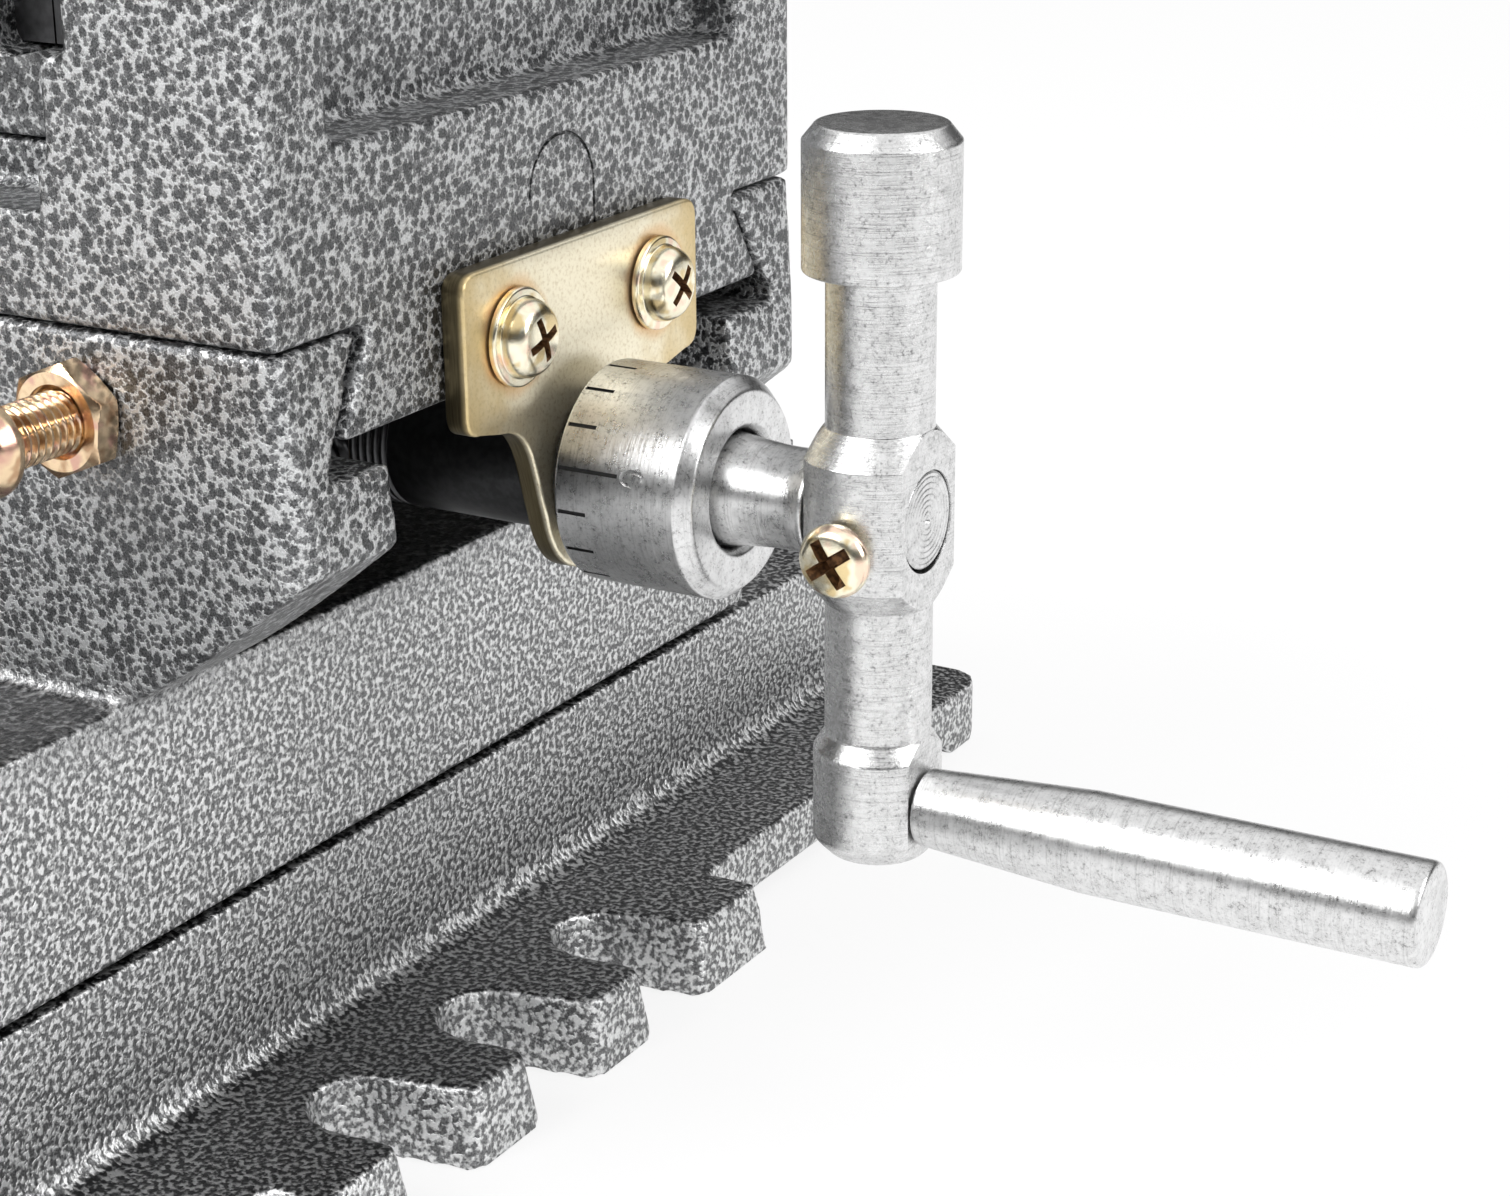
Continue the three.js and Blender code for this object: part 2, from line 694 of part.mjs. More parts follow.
// Thin arched seam in the end face, above the bracket
function seamCut() {
  const outer = seamRadius + seamWidth / 2;
  const inner = seamRadius - seamWidth / 2;
  const top = crossAxis + seamHeight;
  const foot = crossAxis + seamFoot;
  const arch = new THREE.Shape();
  arch.moveTo(saddleShift + outer, foot);
  arch.lineTo(saddleShift + outer, top);
  arch.absarc(saddleShift, top, outer, 0, Math.PI, false);
  arch.lineTo(saddleShift - inner, top);
  arch.absarc(saddleShift, top, inner, Math.PI, 0, true);
  arch.lineTo(saddleShift + inner, foot);
  return extruded(arch, 'x', bodyEnd - seamDepth, bodyEnd + overrun);
}

function boltPlaces() {
  const height = (jawSeatBottom + jawTop) / 2;
  return [-1, 1].map((side) => [saddleShift + side * plateBoltSpread, height]);
}

function makeMovableJaw() {
  const mid = saddleShift;
  const half = bodyWidth / 2;
  const foot = railTop + seatGap;
  const skirt = railTop + jawSkirtHeight;
  const seat = movablePlateFace - jawPlateThickness;
  const jaw = new THREE.Shape();
  jaw.moveTo(movableJawRear, foot);
  jaw.lineTo(movableJawFront, foot);
  jaw.lineTo(movableJawFront, jawSeatBottom);
  jaw.lineTo(seat, jawSeatBottom);
  jaw.lineTo(seat, jawTop);
  const crown = seat - movableJawCrown;
  jaw.lineTo(crown + jawTopRound, jawTop);
  jaw.quadraticCurveTo(crown, jawTop, crown - jawTopRound, jawTop - jawTopRound);
  jaw.lineTo(movableJawRear, jawTop - movableJawHeel);
  const body = extruded(jaw, 'y', mid - half, mid + half);
  const sides = [-1, 1].map((side) => {
    const inner = mid + side * jawSkirtWidth / 2;
    const outer = mid + side * (half + overrun);
    return block(movableJawRear - overrun, movableJawFront + overrun, inner, outer, foot - overrun, skirt);
  });
  const keelHalf = jawChannelWidth / 2 - slideGap;
  const keelBottom = railTop - jawChannelLip - seatGap;
  const middle = (movableJawFront + movableJawRear) / 2;
  const keel = block(middle - keeperLength / 2, middle + keeperLength / 2, mid - keelHalf, mid + keelHalf,
    keelBottom, foot + overrun);
  const socket = rod(spindleRadius + seatGap, 'x', movableJawRear - overrun,
    movableJawRear + spindleNoseLength + seatGap, [0, mid, spindleAxis]);
  const boltHoles = boltPlaces().map(([y, z]) => rod(plateBoltRadius + seatGap, 'x',
    seat - plateBoltGrip, movableJawFront, [0, y, z], coarseSides));
  const keeperHoles = keeperScrewPlaces().map((x) => rod(nutScrewRadius + seatGap, 'z',
    keelBottom - overrun, keelBottom + nutScrewGrip, [x, mid, 0], coarseSides));
  const retainerHoles = retainerScrewPlaces().map((y) => rod(plateBoltRadius + seatGap, 'x',
    movableJawRear - overrun, movableJawRear + plateBoltGrip, [0, y, spindleAxis], coarseSides));
  return cut(joined(cut(body, ...sides), keel), socket, ...boltHoles, ...keeperHoles, ...retainerHoles);
}

function keeperScrewPlaces() {
  const middle = (movableJawFront + movableJawRear) / 2;
  return [-1, 1].map((side) => middle + side * keeperScrewSpread);
}

function retainerScrewPlaces() {
  const reach = (retainerWidth / 2 + spindleRadius) / 2;
  return [-1, 1].map((side) => saddleShift + side * (reach + seatGap));
}

function makeClamp() {
  const mid = saddleShift;
  const keelBottom = railTop - jawChannelLip - seatGap;
  const middle = (movableJawFront + movableJawRear) / 2;
  const keeperHalf = jawChannelWide / 2 - slideGap;
  const keeperHoles = keeperScrewPlaces().map((x) => rod(nutScrewRadius + seatGap, 'z',
    keelBottom - keeperThickness - overrun, keelBottom + overrun, [x, mid, 0], coarseSides));
  piece('keeper_plate', cut(block(middle - keeperLength / 2, middle + keeperLength / 2, mid - keeperHalf,
    mid + keeperHalf, keelBottom - keeperThickness, keelBottom), ...keeperHoles), darkSteel);
  keeperScrewPlaces().forEach((x, k) => {
    piece(`keeper_screw_${k + 1}`, capScrew('z', keelBottom - keeperThickness, -1,
      keeperThickness + nutScrewGrip - holeSpare, [x, mid, 0],
      [nutScrewRadius, nutScrewHeadRadius, nutScrewHeadHeight]), darkSteel);
  });

  const outer = movableJawRear - retainerThickness;
  const neck = rod(spindleNeckRadius + seatGap, 'x', outer - overrun, movableJawRear + overrun,
    [0, mid, spindleAxis]);
  const throat = block(outer - overrun, movableJawRear + overrun, mid - spindleNeckRadius - seatGap,
    mid + spindleNeckRadius + seatGap, spindleAxis - retainerHeight, spindleAxis);
  const holes = retainerScrewPlaces().map((y) => rod(plateBoltRadius + seatGap, 'x', outer - overrun,
    movableJawRear + overrun, [0, y, spindleAxis], coarseSides));
  piece('spindle_retainer', cut(block(outer, movableJawRear, mid - retainerWidth / 2, mid + retainerWidth / 2,
    spindleAxis - retainerHeight / 2, spindleAxis + retainerHeight / 2), neck, throat, ...holes), darkSteel);
  retainerScrewPlaces().forEach((y, k) => {
    piece(`retainer_screw_${k + 1}`, capScrew('x', outer, -1, retainerThickness + plateBoltGrip - holeSpare,
      [0, y, spindleAxis], [plateBoltRadius, plateBoltHeadRadius, nutScrewHeadHeight]), darkSteel);
  });

  const noseEnd = movableJawRear + spindleNoseLength;
  const headStart = bodyTail - bushFlange - spindleHeadStandoff;
  const headEnd = headStart - spindleHeadLength;
  const barPlace = (headStart + headEnd) / 2;
  const edge = dialChamfer;
  const spindle = turned([
    [0, headEnd], [spindleHeadRadius - edge, headEnd], [spindleHeadRadius, headEnd + edge],
    [spindleHeadRadius, headStart - edge], [spindleHeadRadius - edge, headStart], [spindleRadius, headStart],
    [spindleRadius, outer - seatGap], [spindleNeckRadius, outer - seatGap],
    [spindleNeckRadius, movableJawRear + seatGap], [spindleRadius, movableJawRear + seatGap],
    [spindleRadius, noseEnd - edge], [spindleRadius - edge, noseEnd], [0, noseEnd],
  ], 'x', [0, mid, spindleAxis]);
  const barHole = rod(barRadius + seatGap, 'y', -spindleHeadRadius - overrun, spindleHeadRadius + overrun,
    [barPlace, mid, spindleAxis]);
  piece('clamp_spindle', cut(spindle, barHole), steel);
  const tail = bodyTail - seatGap;
  const front = bodyTail + bossLength;
  const bore = spindleRadius + seatGap;
  piece('spindle_nut', turned([
    [bore, tail - bushFlange], [bushFlangeRadius, tail - bushFlange], [bushFlangeRadius, tail],
    [bushRadius, tail], [bushRadius, front], [bore, front], [bore, tail - bushFlange],
  ], 'x', [0, mid, spindleAxis]), bronze);
  const knobFloor = barLength / 2 + seatGap;
  const knobEnd = knobFloor + barKnobWall;
  const knobStart = knobEnd - barKnobLength;
  const bar = turned([
    [0, -knobEnd], [barKnobRadius - edge, -knobEnd], [barKnobRadius, edge - knobEnd],
    [barKnobRadius, -knobStart - edge], [barKnobRadius - edge, -knobStart], [barRadius, -knobStart],
    [barRadius, barLength / 2], [0, barLength / 2],
  ], 'y', [barPlace, mid, spindleAxis], coarseSides);
  piece('clamp_bar', bar, steel);
  const inner = barRadius + seatGap;
  piece('bar_knob', turned([
    [inner, knobStart], [barKnobRadius - edge, knobStart], [barKnobRadius, knobStart + edge],
    [barKnobRadius, knobEnd - edge], [barKnobRadius - edge, knobEnd], [0, knobEnd], [0, knobFloor],
    [inner, knobFloor], [inner, knobStart],
  ], 'y', [barPlace, mid, spindleAxis], coarseSides), steel);
}

function makeJawPlates() {
  const half = jawPlateLength / 2;
  const [low, high] = [jawSeatBottom + seatGap, jawTop - jawPlateDrop];
  const plates = [['fixed', fixedPlateFace, 1], ['movable', movablePlateFace, -1]];
  for (const [name, face, side] of plates) {
    const back = face + side * jawPlateThickness;
    const sink = plateBoltHeadRadius - plateBoltRadius;
    const holes = boltPlaces().map(([y, z]) => turned([
      [0, face - side * overrun], [plateBoltHeadRadius + seatGap, face - side * overrun],
      [plateBoltHeadRadius + seatGap, face + side * plateBoltSink],
      [plateBoltRadius + seatGap, face + side * (plateBoltSink + sink)],
      [plateBoltRadius + seatGap, back + side * overrun], [0, back + side * overrun],
    ], 'x', [0, y, z], coarseSides));
    piece(`${name}_jaw_plate`, cut(block(face, back, saddleShift - half, saddleShift + half, low, high),
      ...holes), darkSteel);
    boltPlaces().forEach(([y, z], k) => {
      const top = face + side * jawPlateDrop;
      const seat = face + side * plateBoltSink;
      const tip = back + side * (plateBoltGrip - holeSpare);
      const bolt = turned([
        [0, top], [plateBoltHeadRadius, top], [plateBoltHeadRadius, seat],
        [plateBoltRadius, seat + side * sink], [plateBoltRadius, tip], [0, tip],
      ], 'x', [0, y, z], coarseSides);
      const socket = hexagonSocket('x', top, -side, plateBoltSink, plateBoltRadius * socketShare, [0, y, z]);
      piece(`${name}_plate_screw_${k + 1}`, cut(bolt, socket), darkSteel);
    });
  }
}

// Outline of the bracket plate round the screw's axis: a wide head, a waist and a tongue
function bracketOutline() {
  const [w, r] = [plateHalfWidth, plateCorner];
  const foot = plateFoot * tongueFootShare;
  const corner = plateTongue * tongueCornerShare;
  const side = [plateTongue * tongueSideShare, plateShoulder * tongueRiseShare];
  const waist = [plateWaist * waistReachShare, plateShoulder * waistRiseShare];
  const ear = plateShoulder + r * shoulderSlopeShare;
  const earTop = plateShoulder + r * shoulderRoundShare;
  const shape = new THREE.Shape();
  shape.moveTo(0, -plateFoot);
  shape.quadraticCurveTo(corner, -plateFoot, plateTongue, -foot);
  shape.bezierCurveTo(side[0], side[1], waist[0], waist[1], plateWaist, plateShoulder);
  shape.lineTo(w - r, ear);
  shape.quadraticCurveTo(w, ear, w, earTop);
  shape.lineTo(w, plateTop - r);
  shape.quadraticCurveTo(w, plateTop, w - r, plateTop);
  shape.lineTo(r - w, plateTop);
  shape.quadraticCurveTo(-w, plateTop, -w, plateTop - r);
  shape.lineTo(-w, earTop);
  shape.quadraticCurveTo(-w, ear, r - w, ear);
  shape.lineTo(-plateWaist, plateShoulder);
  shape.bezierCurveTo(-waist[0], waist[1], -side[0], side[1], -plateTongue, -foot);
  shape.quadraticCurveTo(-corner, -plateFoot, 0, -plateFoot);
  return shape;
}

// One feed: screw, bracket, dial, crank and handle, with the screw's axis on local X and the
// bracket's outer face at local zero. The bracket stands up from the axis or hangs from it.
function makeFeed(name, place, turn, hang, threadLength) {
  const frame = new THREE.Group();
  frame.position.set(...place);
  frame.rotation.z = turn;
  group.add(frame);
  const up = hang ? -1 : 1;
  const axis = [0, 0, 0];

  const collarEnd = -plateThickness - seatGap;
  const collarStart = collarEnd - screwCollarLength;
  const flat = crankReach + armRadius;
  const edge = dialChamfer / 2;
  const threadStart = collarStart - threadLength;
  piece(`${name}_lead_screw`, turned([
    [0, threadStart], [screwThreadRadius - dialChamfer, threadStart],
    [screwThreadRadius, threadStart + dialChamfer], [screwThreadRadius, collarStart],
    [screwCollarRadius, collarStart], [screwCollarRadius, collarEnd], [screwShaftRadius, collarEnd],
    [screwShaftRadius, flat - edge], [screwShaftRadius - edge, flat], [0, flat],
  ], 'x', axis), darkSteel, frame);

  const screwHeight = up * plateScrewHeight;
  const screwHoles = [-1, 1].map((side) => rod(plateScrewRadius + seatGap, 'x', -plateThickness - overrun,
    overrun, [0, side * plateScrewSpread, plateScrewHeight], coarseSides));
  const shaftSpace = screwShaftRadius + seatGap;
  const shaftHole = rod(shaftSpace, 'x', -plateThickness - overrun, overrun, axis);
  const backGap = hang ? seatGap : 0;
  const plate = cut(extruded(bracketOutline(), 'x', backGap - plateThickness, 0), shaftHole, ...screwHoles);
  const bracket = piece(`${name}_bracket_plate`, plate, zinc, frame);
  if (hang) bracket.rotation.x = Math.PI;
  [-1, 1].forEach((side, k) => {
    const head = seatGap + plateFlangeHeight;
    const tip = holeSpare - plateThickness - plateScrewLength;
    const screw = turned([
      [0, tip], [plateScrewRadius, tip], [plateScrewRadius, seatGap], [plateFlangeRadius, seatGap],
      [plateFlangeRadius, head], ...panHead(plateHeadRadius, head, plateHeadHeight, panHeadShares),
    ], 'x', axis, mediumSides);
    const recess = crossRecess(head + plateHeadHeight, plateHeadHeight, plateHeadRadius * panRecessShare);
    const node = piece(`${name}_bracket_screw_${k + 1}`, cut(screw, recess), zinc, frame);
    node.position.set(0, side * plateScrewSpread, screwHeight);
  });

  piece(`${name}_thrust_washer`, turned([
    [shaftSpace, seatGap], [washerRadius, seatGap], [washerRadius, dialStandoff - seatGap],
    [shaftSpace, dialStandoff - seatGap], [shaftSpace, seatGap],
  ], 'x', axis, coarseSides), darkSteel, frame);

  const dialEnd = dialStandoff + dialLength;
  const cup = dialEnd - dialCupDepth;
  piece(`${name}_dial`, turned([
    [shaftSpace, dialStandoff], [dialRadius - edge, dialStandoff], [dialRadius, dialStandoff + edge],
    [dialRadius, dialEnd - dialBevel], [dialRadius - dialBevel, dialEnd], [dialCupRadius, dialEnd],
    [dialCupRadius, cup], [shaftSpace, cup], [shaftSpace, dialStandoff],
  ], 'x', axis, fineSides), steel, frame);

  const hubSpan = hubHalfHeight + hubConeHeight;
  const bossEnd = bossBottom + bossBottomChamfer;
  const arm = turned([
    [0, -bossEnd], [bossRadius - bossBottomChamfer, -bossEnd], [bossRadius, -bossBottom],
    [bossRadius, -bossTop], [armRadius, bossTopChamfer - bossTop], [armRadius, -hubSpan],
    [hubRadius, -hubHalfHeight], [hubRadius, hubHalfHeight], [armRadius, hubSpan],
    [armRadius, capBottom], [capRadius - edge, capBottom], [capRadius, capBottom + edge],
    [capRadius, capTop - capChamfer], [capRadius - capChamfer, capTop], [0, capTop],
  ], 'z', [crankReach, 0, 0], fineSides);
  // The hub is flat on both sides, the boss only towards the handle
  const back = crankReach - armRadius;
  const faces = [
    block(flat, flat + hubRadius, -hubRadius, hubRadius, -hubSpan, hubSpan),
    block(back - hubRadius, back, -hubRadius, hubRadius, -hubSpan, hubSpan),
    block(flat, flat + hubRadius, -hubRadius, hubRadius, -bossEnd - overrun, bossTopChamfer - bossTop),
  ];
  const shaftBore = rod(shaftSpace, 'x', 0, flat + overrun, axis);
  const studBore = rod(studRadius + seatGap, 'x', flat - studDepth - seatGap, flat + overrun,
    [0, 0, -handleDrop], coarseSides);
  const setHole = rod(setScrewRadius + seatGap, 'y', -hubRadius - overrun, -screwShaftRadius,
    [crankReach, 0, -setScrewDrop], coarseSides);
  piece(`${name}_crank`, cut(arm, ...faces, shaftBore, studBore, setHole), steel, frame);

  const setSeat = hubRadius + setScrewStandoff;
  const setTip = screwShaftRadius + seatGap;
  const setScrew = turned([
    [0, setTip], [setScrewRadius, setTip], [setScrewRadius, setSeat],
    ...panHead(setScrewHeadRadius, setSeat, setScrewHeadHeight, setHeadShares),
  ], 'x', axis, mediumSides);
  const recessReach = setScrewHeadRadius * setRecessShare;
  const setRecess = crossRecess(setSeat + setScrewHeadHeight, setScrewHeadHeight, recessReach);
  const setNode = piece(`${name}_set_screw`, cut(setScrew, setRecess), zinc, frame);
  setNode.position.set(crankReach, 0, -setScrewDrop);
  setNode.rotation.z = -Math.PI / 2;

  const root = flat + seatGap;
  const tip = root + handleLength;
  const studEnd = root + studLength;
  const studStart = flat - studDepth;
  const stud = rod(studRadius, 'x', studStart, studEnd, [0, 0, -handleDrop], coarseSides);
  piece(`${name}_handle_stud`, stud, steel, frame);
  const studSpace = studRadius + seatGap;
  piece(`${name}_handle`, turned([
    [studSpace, root], [handleRootRadius, root], [handleRadius, root + handleConeLength],
    [handleRadius, tip - handleChamfer], [handleRadius - handleChamfer, tip], [0, tip],
    [0, studEnd + seatGap], [studSpace, studEnd + seatGap], [studSpace, root],
  ], 'x', [0, 0, -handleDrop]), steel, frame);
}

function makeFeedNuts() {
  const mid = saddleShift;
  const sizes = [nutScrewRadius, nutScrewHeadRadius, nutScrewHeadHeight];
  const threadSpace = screwThreadRadius + seatGap;
  const crossHoles = nutScrewPlaces().filter(([, above]) => !above).map(([y]) => rod(nutScrewRadius + seatGap,
    'z', slabTop - overrun, slabTop + nutScrewGrip, [0, y, 0], coarseSides));
  const crossBore = rod(threadSpace, 'x', -feedNutLength, feedNutLength, [0, mid, crossAxis]);
  const crossNut = block(-feedNutLength / 2, feedNutLength / 2, mid - feedNutWidth / 2,
    mid + feedNutWidth / 2, slabTop, crossFloor - seatGap);
  piece('cross_feed_nut', cut(crossNut, crossBore, ...crossHoles), bronze);
  const place = mid + baseNutShift;
  const baseHoles = nutScrewPlaces().filter(([, above]) => above).map(([y]) => rod(nutScrewRadius + seatGap,
    'z', nutTunnelRoof - baseNutScrewGrip, nutTunnelRoof + overrun, [0, y, 0], coarseSides));
  const baseBore = rod(threadSpace, 'y', place - feedNutLength, place + feedNutLength,
    [0, 0, baseScrewHeight]);
  const baseNut = block(-baseNutWidth / 2, baseNutWidth / 2, place - feedNutLength / 2,
    place + feedNutLength / 2, nutTunnelRoof - baseNutDrop, nutTunnelRoof);
  piece('base_feed_nut', cut(baseNut, baseBore, ...baseHoles), bronze);
  const count = { cross: 0, base: 0 };
  const wall = slabTop - nutTunnelRoof;
  for (const [y, above] of nutScrewPlaces()) {
    const feed = above ? 'base' : 'cross';
    count[feed] += 1;
    const seat = above ? slabTop : nutTunnelRoof;
    const grip = wall + (above ? baseNutScrewGrip : nutScrewGrip) - holeSpare;
    const screw = capScrew('z', seat, above ? 1 : -1, grip, [0, y, 0], sizes);
    piece(`${feed}_nut_screw_${count[feed]}`, screw, darkSteel);
  }
}

// Gib strips, their adjusting screws and lock nuts, on the front of the saddle and its -X side
function makeGibs() {
  const low = crossFloor + seatGap;
  const high = saddleTop - seatGap;
  const length = saddleLength / 2 - gibSetback;
  piece('cross_gib', extruded([
    [crossFront(low) - seatGap, low], [crossFront(high) - seatGap, high],
    [crossFront(high) - seatGap - gibThickness, high], [crossFront(low) - seatGap - gibThickness, low],
  ], 'x', -length, length), darkSteel);
  const flank = (height) => -baseFlank(height) - seatGap;
  const [bottom, top] = [slabBottom + seatGap, baseWayTop - seatGap];
  const reach = slabLength / 2 - gibSetback;
  piece('base_gib', extruded([
    [flank(bottom), bottom], [flank(top), top],
    [flank(top) - gibThickness, top], [flank(bottom) - gibThickness, bottom],
  ], 'y', saddleShift - reach, saddleShift + reach), darkSteel);
  const crossSide = saddleWidth / 2 - saddleShift;
  const crossBack = crossFront(crossGibHeight) - gibThickness - seatGap;
  const crossTip = crossBack - seatGap - gibScrewRadius * slope(crossFrontAngle);
  crossGibPlaces.forEach((x, k) => {
    gibScrew(`cross_gib_${k + 1}`, crossSide, -crossTip, [x, 0, crossGibHeight], -Math.PI / 2);
  });
  const baseBack = flank(baseGibHeight) - gibThickness;
  const baseTip = baseBack - seatGap - gibScrewRadius * slope(baseWayAngle);
  baseGibPlaces.forEach((y, k) => {
    gibScrew(`base_gib_${k + 1}`, baseWallWidth / 2, -baseTip, [0, y, baseGibHeight], Math.PI);
  });
}

// A screw along local X from its tip out through the wall, with a lock nut against the wall
function gibScrew(name, wall, tip, place, turn) {
  const nutFace = wall + seatGap;
  const nutEnd = nutFace + lockNutHeight;
  const headSeat = nutEnd + gibStub;
  const headEnd = headSeat + gibHeadHeight;
  const screw = turned([
    [0, tip], [gibScrewRadius - dialChamfer, tip], [gibScrewRadius, tip + dialChamfer],
    [gibScrewRadius, headSeat], [gibHeadRadius, headSeat], [gibHeadRadius, headSeat + gibHeadHeight / 2],
    [gibHeadRadius * gibHeadShare, headEnd], [0, headEnd],
  ], 'x', [0, 0, 0], mediumSides);
  const depth = gibHeadHeight * recessDepthShare;
  const socket = hexagonSocket('x', headEnd, 1, depth, gibSocketRadius, [0, 0, 0]);
  const corner = lockNutFlats / Math.sqrt(3);
  const hexagon = rod(corner, 'x', nutFace, nutEnd, [0, 0, 0], hexagonSides).rotate([lockNutTurn, 0, 0]);
  const cone = turned([
    [0, nutFace], [corner, nutFace], [corner, nutEnd - lockNutChamfer / 2],
    [corner - lockNutChamfer, nutEnd], [0, nutEnd],
  ], 'x', [0, 0, 0], fineSides);
  const bore = rod(gibScrewRadius + seatGap, 'x', nutFace - overrun, nutEnd + overrun, [0, 0, 0],
    coarseSides);
  const parts = [
    piece(`${name}_screw`, cut(screw, socket), brass),
    piece(`${name}_lock_nut`, cut(hexagon.intersect(cone), bore), brass),
  ];
  for (const part of parts) {
    part.position.set(...place);
    part.rotation.z = turn;
  }
}

piece('base', makeBase(), paint);
piece('saddle', makeSaddle(), paint);
piece('vise_body', makeVise(), paint);
piece('movable_jaw', makeMovableJaw(), paint);
makeJawPlates();
makeClamp();
makeGibs();
makeFeedNuts();
const crossFace = [bodyEnd + plateThickness, saddleShift, crossAxis];
const baseFace = [0, -baseLength / 2 - plateThickness, baseScrewHeight];
makeFeed('cross', crossFace, 0, false, crossThreadLength);
makeFeed('base', baseFace, -Math.PI / 2, true, baseThreadLength);

export default group;
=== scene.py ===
"""Looks of the cross slide vise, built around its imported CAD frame."""

import json
import math

import bmesh
import bpy
import numpy as np
from mathutils import Matrix, Vector


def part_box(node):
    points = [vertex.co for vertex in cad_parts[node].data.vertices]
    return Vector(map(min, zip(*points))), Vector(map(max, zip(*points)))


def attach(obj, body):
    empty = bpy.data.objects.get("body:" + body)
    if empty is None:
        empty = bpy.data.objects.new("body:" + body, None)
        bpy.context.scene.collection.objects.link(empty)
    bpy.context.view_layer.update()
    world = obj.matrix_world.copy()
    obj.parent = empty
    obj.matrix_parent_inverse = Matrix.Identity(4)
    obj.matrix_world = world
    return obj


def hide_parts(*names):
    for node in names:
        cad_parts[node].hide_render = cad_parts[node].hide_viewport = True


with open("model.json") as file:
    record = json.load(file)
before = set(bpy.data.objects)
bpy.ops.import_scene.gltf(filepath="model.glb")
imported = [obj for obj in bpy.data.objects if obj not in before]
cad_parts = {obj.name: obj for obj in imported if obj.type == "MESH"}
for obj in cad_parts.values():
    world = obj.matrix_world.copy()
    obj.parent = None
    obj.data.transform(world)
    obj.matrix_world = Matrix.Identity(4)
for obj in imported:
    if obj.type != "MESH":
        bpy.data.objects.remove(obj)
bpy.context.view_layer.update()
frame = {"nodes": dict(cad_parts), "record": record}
nodes = frame["nodes"]
MM = 0.001

# Driving sizes in millimetres, as in the CAD source where it has them.
# All other places come from the nodes' boxes.
# The bracket plate, round the axis of the feed screw
PLATE_THICKNESS, PLATE_CORNER, PLATE_BEVEL = 3.5, 3.0, 0.45
PLATE_HALF, PLATE_TOP, PLATE_FOOT = 28.1, 31.5, 14.0
PLATE_SHOULDER, PLATE_WAIST, PLATE_TONGUE = 9.4, 20.5, 10.8
PLATE_SCREW_SPREAD, PLATE_SCREW_HEIGHT, PLATE_SCREW_HOLE = 16.9, 21.6, 2.8
SEAT_GAP = 0.3

# The feed screw
SHAFT_RADIUS, COLLAR_RADIUS, COLLAR_LENGTH = 6.4, 9.5, 30.2
THREAD_RADIUS, FEED_PITCH = 6.0, 3.0

# The dial, with its ticks and numbers, from the plate's outer face
DIAL_START, DIAL_LENGTH, DIAL_RADIUS, DIAL_BEVEL = 3.7, 20.0, 14.9, 1.9
CUP_RADIUS, CUP_DEPTH = 8.0, 4.5
TICK_COUNT, TICK_PHASE, TICK_SETBACK = 16, 164.0, 0.5
TICK_WIDTH, SHORT_TICK, LONG_TICK, NUMBER_SIZE = 0.55, 4.3, 9.0, 5.4

# The crank, with heights from the middle of its hub
CRANK_REACH, ARM_RADIUS, HUB_RADIUS = 43.7, 7.0, 10.2
FLAT = CRANK_REACH + ARM_RADIUS
HUB_EDGE, HUB_CONE = 8.0, 11.7
BOSS_RADIUS, BOSS_LOW, BOSS_HIGH, BOSS_NECK = 8.5, -46.5, -32.0, -29.7
CAP_RADIUS, CAP_LOW, CAP_EDGE, CAP_TOP = 10.0, 31.6, 48.0, 50.1
HANDLE_DROP, HANDLE_LENGTH, HANDLE_CONE, STUD_RADIUS = 39.3, 68.0, 23.3, 2.8
SET_SCREW_DROP, SET_SCREW_SEAT, SET_SCREW_HOLE = 3.0, 11.2, 2.7

# The gib screws and their lock nuts
GIB_SCREW_RADIUS, GIB_PITCH, GIB_HEAD = 4.0, 1.25, 4.2
NUT_FLATS, NUT_HEIGHT, NUT_TURN = 13.0, 4.0, 22.6

# The clamp
SPINDLE_RADIUS, SPINDLE_HEAD_RADIUS, SPINDLE_HEAD, CLAMP_PITCH = 8.0, 13.0, 30.0, 4.0
BAR_RADIUS, KNOB_RADIUS, KNOB_LENGTH = 5.0, 7.5, 11.0


def low(node):
    """Lowest corner of a CAD node, in millimetres."""
    return np.array(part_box(node)[0]) / MM


def high(node):
    """Highest corner of a CAD node, in millimetres."""
    return np.array(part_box(node)[1]) / MM


def middle(node):
    """Middle of a CAD node's box, in millimetres."""
    return (low(node) + high(node)) / 2


# Meshes
def add_object(name, mesh, matrix=None):
    """Links a new object for a mesh or a curve into the scene."""
    piece = bpy.data.objects.new(name, mesh)
    bpy.context.scene.collection.objects.link(piece)
    if matrix is not None:
        piece.matrix_world = matrix
    return piece


def mesh_from(name, points, faces, sharp=35):
    """A mesh in metres from points in millimetres, with its faces pointing out and its edges kept sharp."""
    mesh = bpy.data.meshes.new(name)
    mesh.from_pydata([tuple(np.asarray(p, float) * MM) for p in points], [], faces)
    build = bmesh.new()
    build.from_mesh(mesh)
    bmesh.ops.recalc_face_normals(build, faces=build.faces)
    build.to_mesh(mesh)
    build.free()
    shade(mesh, sharp)
    return mesh


def shade(mesh, sharp):
    """Smooth shading, with edges over an angle in degrees kept sharp."""
    mesh.shade_smooth()
    mesh.set_sharp_from_angle(angle=math.radians(sharp))


